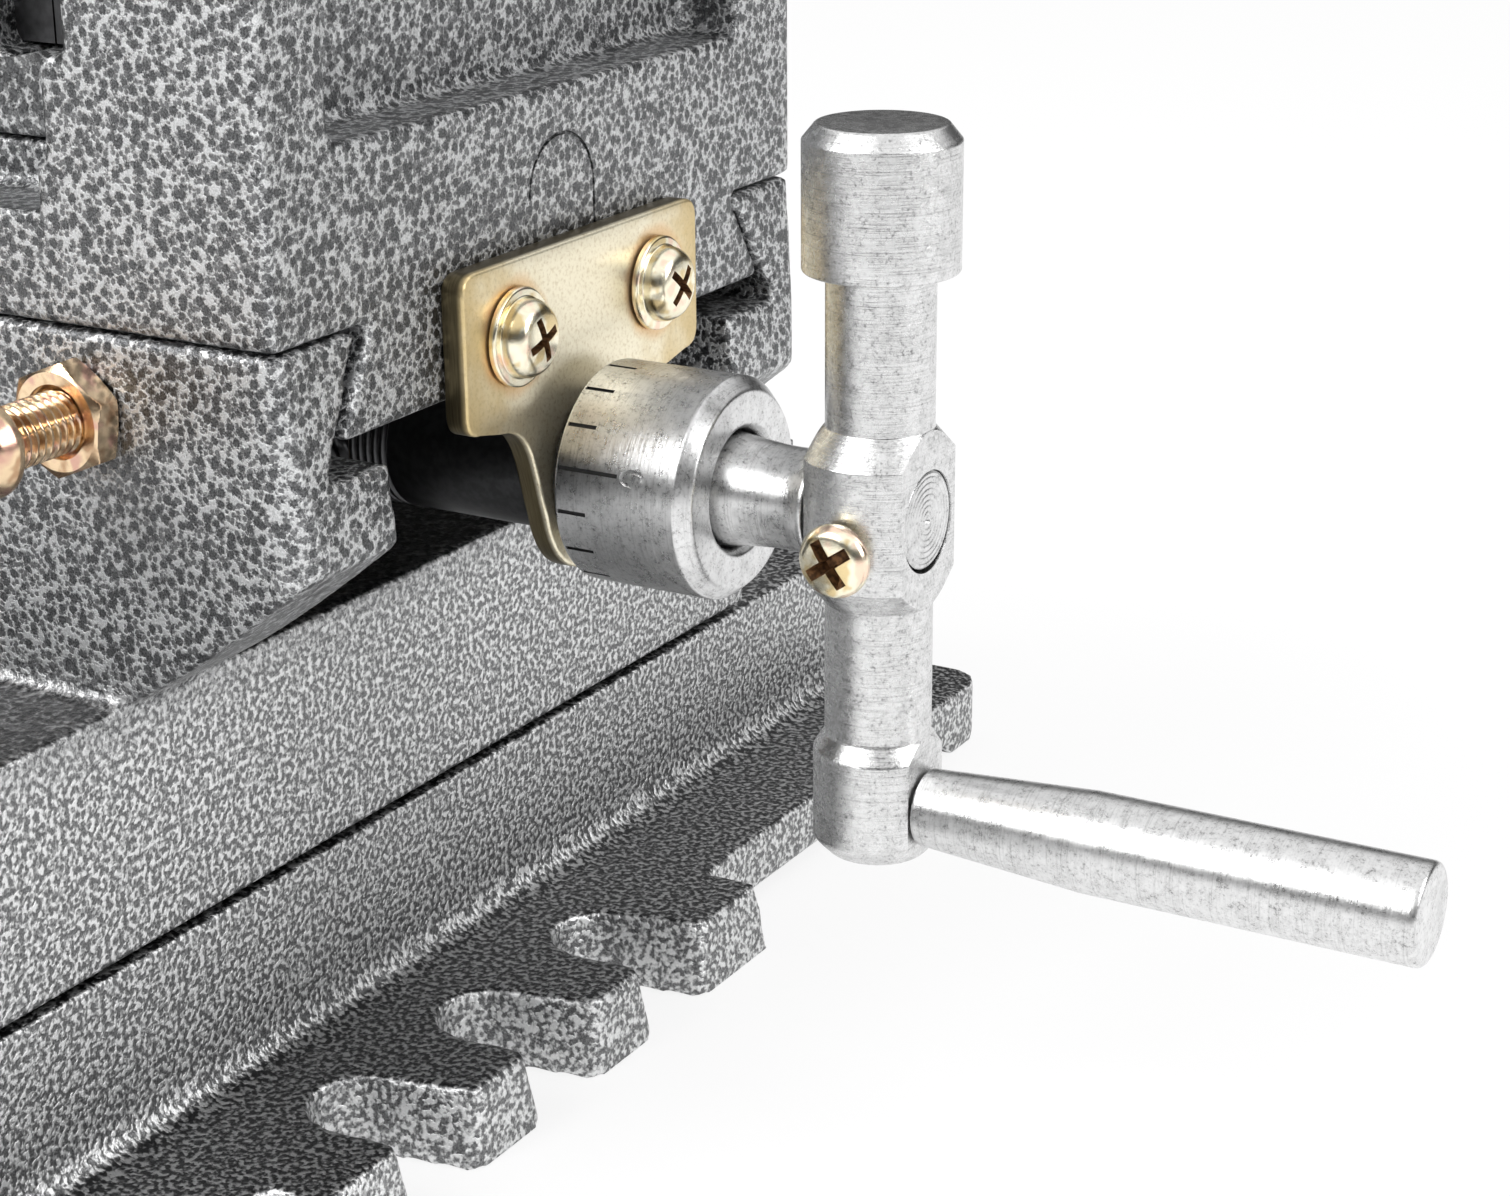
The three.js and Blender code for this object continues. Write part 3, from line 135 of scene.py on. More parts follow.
def rounded(outline, steps=4, closed=False):
    """The outline with its corners rounded: each point is (a, b) or (a, b, rounding)."""
    longest_share = 0.49
    points = [np.array(p[:2], float) for p in outline]
    sizes = [p[2] if len(p) > 2 else 0 for p in outline]
    count = len(points)
    result = []
    for k, (corner, size) in enumerate(zip(points, sizes)):
        if not size or (not closed and k in (0, count - 1)):
            result.append(corner)
            continue
        back, on = points[k - 1] - corner, points[(k + 1) % count] - corner
        reach = min(size, longest_share * np.linalg.norm(back), longest_share * np.linalg.norm(on))
        start = corner + back / np.linalg.norm(back) * reach
        end = corner + on / np.linalg.norm(on) * reach
        for t in np.linspace(0, 1, steps + 1):
            result.append((1 - t) ** 2 * start + 2 * t * (1 - t) * corner + t * t * end)
    return result


def turned(name, rings, sides=96, closed=False, sharp=35):
    """A mesh turned round X from rings, each (radius, place).

    A radius is one number, or a number for each side. A radius of 0 makes a single point on the axis.
    """
    angles = np.linspace(0, 2 * math.pi, sides, endpoint=False)
    points, faces, starts = [], [], []
    for radius, place in rings:
        starts.append(len(points))
        if np.ndim(radius) == 0 and radius < 1e-6:
            points.append((place, 0, 0))
            continue
        reach = np.broadcast_to(radius, sides)
        points.extend(zip(np.full(sides, place), reach * np.cos(angles), reach * np.sin(angles)))
    pairs = list(zip(range(len(rings) - 1), range(1, len(rings))))
    if closed:
        pairs.append((len(rings) - 1, 0))
    ends = starts + [len(points)]
    for a, b in pairs:
        single_a, single_b = ends[a + 1] - ends[a] == 1, ends[b + 1] - ends[b] == 1
        for j in range(sides):
            k = (j + 1) % sides
            if single_a and single_b:
                break
            if single_a:
                faces.append((starts[a], starts[b] + j, starts[b] + k))
            elif single_b:
                faces.append((starts[a] + j, starts[b], starts[a] + k))
            else:
                faces.append((starts[a] + j, starts[b] + j, starts[b] + k, starts[a] + k))
    return mesh_from(name, points, faces, sharp)


def thread_rings(radius, pitch, depth, start, end, sides, share=0.16):
    """Rings of a trapezoid thread that runs in and out over one pitch at its ends."""
    rings_per_pitch = 8
    angles = np.linspace(0, 1, sides, endpoint=False)
    count = int(round((end - start) / pitch * rings_per_pitch))
    rings = []
    for place in np.linspace(start, end, count + 1):
        phase = (place / pitch - angles) % 1.0
        tooth = np.clip((np.abs(phase - 0.5) - share) / (0.5 - 2 * share), 0, 1)
        fade = min(1.0, (place - start) / pitch, (end - place) / pitch)
        rings.append((radius - depth * tooth * max(fade, 0), place))
    return rings


def evaluated(piece, name):
    """The piece's mesh with its modifiers applied; the piece goes away."""
    graph = bpy.context.evaluated_depsgraph_get()
    mesh = bpy.data.meshes.new_from_object(piece.evaluated_get(graph))
    mesh.name = name
    bpy.data.objects.remove(piece)
    return mesh


def carved(mesh, cutters, sharp=35):
    """The mesh after cutting the cutters' meshes out of it."""
    body = add_object("carving", mesh)
    tools = []
    for cutter in cutters:
        tool = add_object("tool", cutter)
        tools.append(tool)
        change = body.modifiers.new("cut", "BOOLEAN")
        change.operation = "DIFFERENCE"
        change.solver = "EXACT"
        change.object = tool
    result = evaluated(body, mesh.name)
    for tool in tools:
        bpy.data.objects.remove(tool)
    shade(result, sharp)
    return result


def bar(size, centre=(0, 0, 0), turn=None):
    """A box of a size in millimetres, for cutting."""
    signs = [(x, y, z) for x in (-1, 1) for y in (-1, 1) for z in (-1, 1)]
    corners = [np.array(s) * np.array(size) / 2 for s in signs]
    if turn is not None:
        corners = [np.array(turn @ Vector(c)) for c in corners]
    points = [c + np.array(centre) for c in corners]
    faces = [(0, 1, 3, 2), (4, 6, 7, 5), (0, 4, 5, 1), (2, 3, 7, 6), (0, 2, 6, 4), (1, 5, 7, 3)]
    return mesh_from("bar", points, faces)


def bars(parts):
    """Several boxes in one mesh: (size, centre, turn) each."""
    build = bmesh.new()
    for size, centre, turn in parts:
        build.from_mesh(bar(size, centre, turn))
    mesh = bpy.data.meshes.new("bars")
    build.to_mesh(mesh)
    build.free()
    return mesh


def moved(mesh, matrix):
    """The mesh itself, after a transform."""
    mesh.transform(matrix)
    return mesh


def shift(x, y, z):
    """A move in millimetres."""
    return Matrix.Translation(Vector((x, y, z)) * MM)


def spin(degrees, axis):
    """A turn round a main axis."""
    return Matrix.Rotation(math.radians(degrees), 4, axis)


# What was made along X is turned to look along another axis
ALONG_Z = spin(-90, "Y")
ALONG_Y = spin(90, "Z")
ALONG_MINUS_Y = spin(-90, "Z")


def cross_cutter(face, depth, reach, width):
    """Two tapered blades that cut a cross recess into a face that looks along X."""
    mouth_reach_share, mouth_width_share = 1.15, 1.1
    floor_reach_share, floor_width_share = 0.42, 0.62
    ends = ((face + 1, reach * mouth_reach_share, width * mouth_width_share),
            (face - depth, reach * floor_reach_share, width * floor_width_share))
    blades = []
    for turn in (0, 90):
        points = []
        for place, r, w in ends:
            points += [(place, -r, -w / 2), (place, r, -w / 2), (place, r, w / 2), (place, -r, w / 2)]
        faces = [(0, 1, 2, 3), (4, 5, 6, 7), (0, 1, 5, 4), (1, 2, 6, 5), (2, 3, 7, 6), (3, 0, 4, 7)]
        blades.append(moved(mesh_from("blade", points, faces), spin(turn, "X")))
    return blades


def socket_cutter(face, depth, reach):
    """Cutter for a hexagon socket, with a drill point at its bottom, in a face that looks along X."""
    outline = [(0, face - depth - reach / 2), (reach, face - depth), (reach, face + 1), (0, face + 1)]
    return turned("socket", outline, 6)


# Node trees
class Nodes:
    """Builds a node tree in few words."""

    def __init__(self, name):
        self.material = bpy.data.materials.new(name)
        self.material.use_nodes = True
        self.tree = self.material.node_tree
        self.tree.nodes.clear()
        self.out = self.tree.nodes.new("ShaderNodeOutputMaterial")

    def add(self, kind, inputs=None, **settings):
        """A new shader node, with its inputs and settings."""
        node = self.tree.nodes.new("ShaderNode" + kind)
        for key, value in settings.items():
            setattr(node, key, value)
        for key, value in (inputs or {}).items():
            self.put(node.inputs[key], value)
        return node

    def put(self, socket, value):
        """Links a socket or a node's first output, or sets a plain value."""
        if isinstance(value, bpy.types.NodeSocket):
            self.tree.links.new(value, socket)
        elif isinstance(value, bpy.types.Node):
            self.tree.links.new(value.outputs[0], socket)
        else:
            socket.default_value = value

    def math(self, operation, a, b=0.0, c=0.0):
        """The result of one Math node."""
        node = self.add("Math", operation=operation)
        for socket, value in zip(node.inputs, (a, b, c)):
            self.put(socket, value)
        return node.outputs[0]

    def times(self, a, b):
        return self.math("MULTIPLY", a, b)

    def plus(self, a, b):
        return self.math("ADD", a, b)

    def centred(self, value, amount):
        """A value round a half, as a swing round 0."""
        return self.times(self.math("SUBTRACT", value, 0.5), amount)

    def step(self, value, start, end):
        """A soft step from 0 at start to 1 at end."""
        node = self.add("MapRange", interpolation_type="SMOOTHSTEP")
        for key, v in (("Value", value), ("From Min", start), ("From Max", end)):
            self.put(node.inputs[key], v)
        return node.outputs["Result"]

    def between(self, value, start, end):
        """A value from 0 to 1 spread from start to end."""
        return self.add("MapRange", {"Value": value, "To Min": start, "To Max": end}).outputs[0]

    def mix(self, factor, a, b):
        """A mix of two colours, each a socket or three numbers."""
        node = self.add("Mix", data_type="RGBA", clamp_factor=True)
        self.put(node.inputs[0], factor)
        for socket, value in ((node.inputs[6], a), (node.inputs[7], b)):
            self.put(socket, (*value, 1) if isinstance(value, tuple) else value)
        return node.outputs[2]

    def place(self, scale=(1, 1, 1)):
        """Object coordinates in millimetres, scaled."""
        where = self.add("TexCoord")
        node = self.add("Mapping", {"Vector": where.outputs["Object"]})
        node.inputs["Scale"].default_value = [s / MM for s in scale]
        return node.outputs[0]

    def axes(self, vector):
        """The vector's three parts."""
        return self.add("SeparateXYZ", {0: vector}).outputs

    def noise(self, vector, scale, detail=2.0, rough=0.5, out="Fac"):
        """A noise from 0 to 1, with its scale in waves to the millimetre."""
        inputs = {"Vector": vector, "Scale": scale, "Detail": detail, "Roughness": rough}
        return self.add("TexNoise", inputs).outputs[out]

    def cells(self, vector, size):
        """Distance to the nearest cell's middle, in cells of a size in millimetres."""
        return self.add("TexVoronoi", {"Vector": vector, "Scale": 1 / size}).outputs["Distance"]

    def shift(self, vector, amount, scale, detail=1.0):
        """The vector, moved about by a noise."""
        colour = self.noise(vector, scale, detail, out="Color")
        centred = self.add("VectorMath", {0: colour, 1: (0.5, 0.5, 0.5)}, operation="SUBTRACT")
        scaled = self.add("VectorMath", {0: centred.outputs[0], "Scale": amount}, operation="SCALE")
        return self.add("VectorMath", {0: vector, 1: scaled.outputs[0]}, operation="ADD").outputs[0]

    def bump(self, height, strength, depth):
        """A normal from a height, with the relief's depth in millimetres."""
        inputs = {"Height": height, "Strength": strength, "Distance": depth * MM}
        return self.add("Bump", inputs).outputs[0]

    def surface(self, **sockets):
        """The finished material, from a Principled shader's sockets."""
        shader = self.add("BsdfPrincipled")
        for key, value in sockets.items():
            self.put(shader.inputs[key.replace("_", " ")], value)
        self.tree.links.new(shader.outputs[0], self.out.inputs["Surface"])
        return self.material


def hammertone():
    """Silver hammertone paint.

    On the upper castings dark round blobs of two sizes lie in a pale ground. The slab and the base are
    pebbled more finely and painted paler, as painted light, and their level faces are painted dark as shade.
    """
    blobs = ((1.5, 0.60, 0.24, 1.0), (0.78, 0.66, 0.30, 0.85))
    pebbled_below, blobbed_above = 62.0, 80.0
    # Level faces below these heights are painted dark as shade, in this colour
    unshaded_above, shaded_below = 88.0, 74.0
    painted_shade = (0.02, 0.02, 0.021)
    n = Nodes("hammertone_paint")
    at = n.place()
    height = n.axes(at)["Z"]
    upper = n.step(height, pebbled_below, blobbed_above)
    wandering = n.shift(at, amount=0.55, scale=2.0, detail=3.0)
    grain = n.noise(at, 3.6, detail=3.0, rough=0.7)
    speck = n.step(grain, 0.30, 0.70)

    # How dark the pattern is: 0 on the ground, 1 in a blob or pebble
    loose = n.plus(n.centred(grain, 0.50), n.centred(n.noise(at, 0.20), 0.12))
    layers = []
    for size, reach, soft, depth in blobs:
        blob = n.step(n.plus(n.cells(wandering, size), loose), reach, reach - soft)
        layers.append(n.times(blob, depth))
    pebbles = n.step(n.noise(wandering, 1.15, detail=1.5), 0.36, 0.60)
    either = n.add("Mix", {0: upper, 2: pebbles, 3: n.math("MAXIMUM", *layers)}, data_type="FLOAT")
    cell = either.outputs[0]

    # Painted light: the slab and the base get a paler ground and paler blobs than the upper castings, for
    # their brightly lit walls
    dark_low = n.mix(speck, (0.09, 0.091, 0.093), (0.30, 0.303, 0.307))
    dark_high = n.mix(speck, (0.05, 0.051, 0.053), (0.20, 0.203, 0.207))
    pale_low = n.mix(speck, (0.80, 0.805, 0.81), (0.97, 0.97, 0.97))
    pale_high = n.mix(speck, (0.50, 0.505, 0.51), (0.82, 0.825, 0.83))
    colour = n.mix(cell, n.mix(upper, pale_low, pale_high), n.mix(upper, dark_low, dark_high))
    # Painted shade: level faces low down are mixed towards a near-black colour, most in the blobs
    level = n.step(n.axes(n.add("NewGeometry").outputs["Normal"])["Z"], 0.6, 0.9)
    shaded_tops = n.times(level, n.step(height, unshaded_above, shaded_below))
    colour = n.mix(n.times(shaded_tops, n.between(cell, 0.5, 0.9)), colour, painted_shade)
    relief = n.plus(n.times(cell, -0.7), n.times(grain, 0.5))
    return n.surface(Base_Color=colour, Metallic=1.0, Roughness=n.between(cell, 0.42, 0.30),
                     Normal=n.bump(relief, strength=0.8, depth=0.18))


def marked_steel(name, along, rough=0.30, marks=0.5):
    """Bright turned steel: tool marks that run round the axis named by along, over a fine mottled grain."""
    pale, grey, dark = [(share, share, share) for share in (0.7752, 0.6392, 0.1768)]
    across, length = 4.0, 0.10
    stretch = {"x": (across, length, length), "z": (length, length, across)}[along]
    n = Nodes(name)
    lines = n.noise(n.place(stretch), 1.0, detail=4.0, rough=0.65)
    at = n.place()
    mottle = n.noise(at, 0.55, detail=5.0, rough=0.7)
    grain = n.noise(n.shift(at, amount=0.3, scale=1.5), 1.9, detail=5.0, rough=0.8)
    pits = n.times(n.step(grain, 0.50, 0.66), n.between(n.step(mottle, 0.60, 0.40), 0.25, 0.85))
    scratches = n.times(n.step(lines, 0.50, 0.70), n.between(grain, 0.05, 0.55))
    colour = n.mix(n.step(mottle, 0.35, 0.65), grey, pale)
    colour = n.mix(scratches, n.mix(pits, colour, dark), dark)
    shine = n.times(n.between(mottle, 0.70, 1.20), rough)
    height = n.plus(lines, n.times(grain, 0.5))
    return n.surface(Base_Color=colour, Metallic=1.0, Roughness=shine,
                     Normal=n.bump(height, strength=marks, depth=0.08))


def yellow_zinc_plate():
    """Passivated plate: cream in the middle, olive towards the edges, with rusty stains round the screws."""
    cream, olive, speckle = (0.95, 0.88, 0.69), (0.70, 0.55, 0.29), (0.50, 0.38, 0.19)
    rust = (0.72, 0.42, 0.16)
    sawn_dark, sawn_pale = (0.05, 0.042, 0.022), (0.24, 0.195, 0.11)
    stain_edge, stain_core, stain_swing = 8.6, 6.6, 1.5
    n = Nodes("yellow_zinc_plate")
    at = n.place()
    parts = n.axes(at)
    side = n.math("ABSOLUTE", parts["Y"])
    cloud = n.noise(at, 0.16, detail=4.0, rough=0.6)
    fine = n.noise(at, 1.6, detail=4.0, rough=0.7)
    outward = n.plus(n.math("DIVIDE", side, PLATE_HALF), n.centred(cloud, 0.9))
    colour = n.mix(n.step(outward, 0.35, 1.05), cream, olive)
    colour = n.mix(n.times(n.step(fine, 0.45, 0.70), 0.45), colour, speckle)

    across = n.math("SUBTRACT", side, PLATE_SCREW_SPREAD)
    up = n.math("SUBTRACT", n.math("ABSOLUTE", parts["Z"]), PLATE_SCREW_HEIGHT)
    away = n.math("SQRT", n.plus(n.times(across, across), n.times(up, up)))
    ragged = n.plus(away, n.between(cloud, -stain_swing, stain_swing))
    colour = n.mix(n.times(n.step(ragged, stain_edge, stain_core), 0.6), colour, rust)

    # The sides are dark and sawn, and only the front face has the plating's colours
    front = n.step(parts["X"], -1.1, -0.3)
    sawn = n.noise(n.place((6.0, 0.3, 0.3)), 1.0, detail=3.0)
    colour = n.mix(front, n.mix(sawn, sawn_dark, sawn_pale), colour)
    relief = n.plus(fine, n.times(sawn, 0.5))
    return n.surface(Base_Color=colour, Metallic=0.9, Roughness=n.between(cloud, 0.30, 0.46),
                     Normal=n.bump(relief, strength=0.35, depth=0.06))


def iridescent_zinc(name, first, second, third):
    """Bright passivated screws: patches of three colours, nearly a mirror."""
    n = Nodes(name)
    at = n.place()
    cloud = n.noise(n.shift(at, amount=1.0, scale=0.4), 0.30)
    colour = n.mix(n.step(cloud, 0.36, 0.50), first, second)
    colour = n.mix(n.step(cloud, 0.52, 0.66), colour, third)
    fine = n.noise(at, 1.5, detail=3.0)
    return n.surface(Base_Color=colour, Metallic=1.0, Roughness=n.between(fine, 0.16, 0.30),
                     Normal=n.bump(fine, strength=0.25, depth=0.06))


def plain(name, colour, metallic, rough, variation=0.15, scale=0.8):
    """A plain finish, with spots of a scale that are a little darker and paler than its colour."""
    n = Nodes(name)
    at = n.place()
    spots = n.noise(at, scale, detail=3.0)
    dark = tuple(c * (1 - variation) for c in colour)
    pale = tuple(min(1.0, c * (1 + variation)) for c in colour)
    spotted = n.mix(n.step(spots, 0.35, 0.65), dark, pale)
    shine = n.between(spots, rough * 0.85, rough * 1.2)
    fine = n.noise(at, scale * 5, detail=3.0)
    return n.surface(Base_Color=spotted, Metallic=metallic, Roughness=shine,
                     Normal=n.bump(fine, strength=0.3, depth=0.04))


MATERIALS = {
    "hammertone_casting": hammertone(),
    "turned_steel": marked_steel("turned_steel", "x"),
    "dark_steel": plain("dark_steel", (0.07, 0.07, 0.072), metallic=1.0, rough=0.38),
    "yellow_zinc": plain("yellow_zinc", (0.62, 0.50, 0.27), metallic=1.0, rough=0.32, variation=0.12,
                         scale=0.25),
    "copper_zinc": iridescent_zinc("copper_zinc", (0.50, 0.32, 0.19), (0.80, 0.61, 0.40),
                                   (0.66, 0.40, 0.31)),
    "bronze": plain("bronze", (0.50, 0.30, 0.14), metallic=1.0, rough=0.4),
}
ARM_STEEL = marked_steel("turned_arm_steel", "z", rough=0.28, marks=0.7)
PLATE_LOOK = yellow_zinc_plate()
SCREW_LOOK = iridescent_zinc("iridescent_zinc", (0.78, 0.62, 0.34), (0.98, 0.92, 0.72), (0.95, 0.72, 0.56))
RECESS_LOOK = plain("grimy_recess", (0.17, 0.085, 0.035), metallic=0.6, rough=0.55, variation=0.5, scale=1.5)
INK = plain("tick_ink", (0.03, 0.03, 0.03), metallic=0.2, rough=0.6)
SLOT = {entry["node"]: entry["material_slot"] for entry in frame["record"]["subparts"]}
BODY = {node: body for body, held in frame["record"]["behaviour"]["bodies"].items() for node in held}

for name, node in nodes.items():
    node.data.materials.clear()
    node.data.materials.append(MATERIALS[SLOT[name]])


def dressed(name, mesh, node, matrix=None, look=None):
    """Puts a mesh in the place of a CAD node, with the node's body and material slot."""
    if not mesh.materials:
        mesh.materials.append(look or MATERIALS[SLOT[node]])
    piece = add_object(name, mesh, matrix)
    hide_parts(node)
    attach(piece, BODY[node])
    return piece


# Castings
def casting(node, voxel, faces, cutters=()):
    """The CAD solid in a number of triangles, with its edges rounded as a sand casting's are."""
    smoothing, passes = 0.5, 4
    source = add_object("source", nodes[node].data.copy())
    source.data.materials.clear()
    remesh = source.modifiers.new("remesh", "REMESH")
    remesh.mode = "VOXEL"
    remesh.voxel_size = voxel * MM
    soften = source.modifiers.new("soften", "SMOOTH")
    soften.factor = smoothing
    soften.iterations = passes
    mesh = evaluated(source, node + "_cast")
    thin = add_object("thin", mesh)
    change = thin.modifiers.new("thin", "DECIMATE")
    change.ratio = min(1.0, faces / (2 * len(mesh.polygons)))
    mesh = evaluated(thin, node + "_cast")
    if cutters:
        mesh = carved(mesh, cutters)
    shade(mesh, 60)
    return dressed(node + "_casting", mesh, node)


def seam_cutter():
    """The thin arched seam in the vise body's end face."""
    axis = middle("cross_dial")
    end = high("vise_body")[0]
    # Heights over the feed screw, from which the seam rises straight and then bends round
    foot, spring = 30.5, 37.0
    radius, width, depth = 7.6, 0.5, 0.7
    line = [(radius, height) for height in np.linspace(foot, spring, 4)[:-1]]
    line += [(radius * math.cos(a), spring + radius * math.sin(a)) for a in np.linspace(0, math.pi, 19)]
    points, faces = [], []
    for k, (y, z) in enumerate(line):
        before, after = line[max(k - 1, 0)], line[min(k + 1, len(line) - 1)]
        run = np.array(after) - np.array(before)
        side = np.array((run[1], -run[0])) / np.linalg.norm(run) * width / 2
        for x in (end - depth, end + 1):
            for sign in (1, -1):
                points.append((x, axis[1] + y + sign * side[0], axis[2] + z + sign * side[1]))
        if k:
            a, b = 4 * (k - 1), 4 * k
            faces += [(a, b, b + 1, a + 1), (a + 2, a + 3, b + 3, b + 2)]
            faces += [(a, a + 2, b + 2, b), (a + 1, b + 1, b + 3, a + 3)]
    last = 4 * (len(line) - 1)
    faces += [(0, 1, 3, 2), (last, last + 2, last + 3, last + 1)]
    return mesh_from("seam", points, faces)


# Feed sets
def bracket_outline(steps=10):
    """The plate's outline round the screw's axis, as the CAD source draws it."""
    half = [(0, -PLATE_FOOT)]

    def curve(*control):
        """Adds a Bezier curve, without its first point."""
        for t in np.linspace(0, 1, steps + 1)[1:]:
            points = [np.array(c, float) for c in control]
            while len(points) > 1:
                points = [(1 - t) * a + t * b for a, b in zip(points[:-1], points[1:])]
            half.append(tuple(points[0]))

    w, r, top = PLATE_HALF, PLATE_CORNER, PLATE_TOP
    hip, waist = (PLATE_TONGUE, -0.33 * PLATE_FOOT), (PLATE_WAIST, PLATE_SHOULDER)
    ear, ear_top = PLATE_SHOULDER + 0.33 * r, PLATE_SHOULDER + 1.4 * r
    curve(half[0], (0.8 * PLATE_TONGUE, -PLATE_FOOT), hip)
    curve(hip, (1.25 * PLATE_TONGUE, 0.3 * PLATE_SHOULDER), (0.65 * PLATE_WAIST, 0.95 * PLATE_SHOULDER),
          waist)
    half.append((w - r, ear))
    curve((w - r, ear), (w, ear), (w, ear_top))
    half.append((w, top - r))
    curve((w, top - r), (w, top), (w - r, top))
    return half + [(-y, z) for y, z in reversed(half[1:])]


def curve_mesh(curve):
    """The closed mesh of an extruded curve; the curve goes away."""
    mesh = evaluated(add_object("curve", curve), "curve_mesh")
    bpy.data.curves.remove(curve)
    build = bmesh.new()
    build.from_mesh(mesh)
    bmesh.ops.remove_doubles(build, verts=build.verts, dist=0.00001)
    bmesh.ops.recalc_face_normals(build, faces=build.faces)
    build.to_mesh(mesh)
    build.free()
    return mesh


def bracket_plate(back):
    """The plate as a bevelled slab from place back to 0 on X, with its three holes."""
    curve = bpy.data.curves.new("plate", "CURVE")
    curve.dimensions = "2D"
    curve.fill_mode = "BOTH"
    loops = [bracket_outline()]
    holes = [(0, 0, SHAFT_RADIUS + SEAT_GAP)]
    holes += [(side * PLATE_SCREW_SPREAD, PLATE_SCREW_HEIGHT, PLATE_SCREW_HOLE) for side in (-1, 1)]
    turn = np.linspace(0, 2 * math.pi, 48, endpoint=False)
    for y, z, radius in holes:
        loops.append([(y + radius * math.cos(a), z + radius * math.sin(a)) for a in turn])
    for loop in loops:
        spline = curve.splines.new("POLY")
        spline.points.add(len(loop) - 1)
        spline.use_cyclic_u = True
        for point, (a, b) in zip(spline.points, loop):
            point.co = (a * MM, b * MM, 0, 1)
    curve.extrude = (-back / 2 - PLATE_BEVEL) * MM
    curve.bevel_depth = PLATE_BEVEL * MM
    curve.bevel_resolution = 2
    curve.offset = -PLATE_BEVEL * MM
    mesh = curve_mesh(curve)
    # The curve lies in its X and Y, which are the plate's Y and Z
    mesh.transform(Matrix(((0, 0, 1, back / 2 * MM), (1, 0, 0, 0), (0, 1, 0, 0), (0, 0, 0, 1))))
    shade(mesh, 30)
    return mesh


def pan_screw(name, seat, radius, height, shank, tip, flange=None, recess=(0.66, 0.75, 0.24)):
    """A cross-recessed pan head on a shank that ends at tip, with its seat at a place on X.

    A flange is a radius and a thickness. A recess is its reach and width as shares of the head's radius,
    round its depth as one of the height.
    """
    chamfer = 0.5
    outline = [(0, tip), (shank - chamfer, tip), (shank, tip + chamfer), (shank, seat)]
    if flange:
        rim, thickness = flange
        outline += [(rim, seat, 0.15), (rim, seat + thickness, 0.4)]
        outline.append((radius + 0.15, seat + thickness + 0.12, 0.2))
        seat += thickness
    else:
        outline.append((radius - 0.25, seat, 0.2))
    top = seat + height
    outline += [(radius, seat + 0.45 * height, 0.9), (0.80 * radius, seat + 0.88 * height, 1.2),
                (0.35 * radius, top, 0.8), (0, top)]
    profile = rounded(outline, 5)
    reach, depth, width = recess
    head = turned(name, profile, 64)
    mesh = carved(head, cross_cutter(top, depth * height, reach * radius, width * radius), 32)
    mesh.materials.append(SCREW_LOOK)
    mesh.materials.append(RECESS_LOOK)

    # The faces that lie a little below the dome are the recess's
    sunk_by, dome_foot, dome_reach = 0.12, 0.4, 0.9
    dome = sorted((r, place) for r, place in profile if place > seat + dome_foot * height)
    radii, places = zip(*dome)
    for face in mesh.polygons:
        x, y, z = np.array(face.center) / MM
        away = math.hypot(y, z)
        sunk = seat < x < np.interp(away, radii, places) - sunk_by
        face.material_index = int(sunk and away < dome_reach * radius)
    return mesh


def cap_screw(seat, radius, height, shank, tip):
    """A round head with a hexagon socket, its seat at a place on X and its shank towards tip."""
    chamfer, edge, rim = 0.4, 0.2, 0.4
    socket_depth, socket_reach = height * 0.5, shank * 0.9
    side = 1 if tip < seat else -1
    top = seat + side * height
    outline = [(0, tip), (shank - chamfer, tip), (shank, tip + side * chamfer), (shank, seat),
               (radius - edge, seat), (radius, seat + side * edge), (radius, top, rim), (0, top)]
    mesh = turned("cap_screw", rounded(outline), 48)
    cutter = socket_cutter(height, socket_depth, socket_reach)
    if side < 0:
        cutter.transform(spin(180, "Z"))
    cutter.transform(shift(seat, 0, 0))
    return carved(mesh, [cutter])


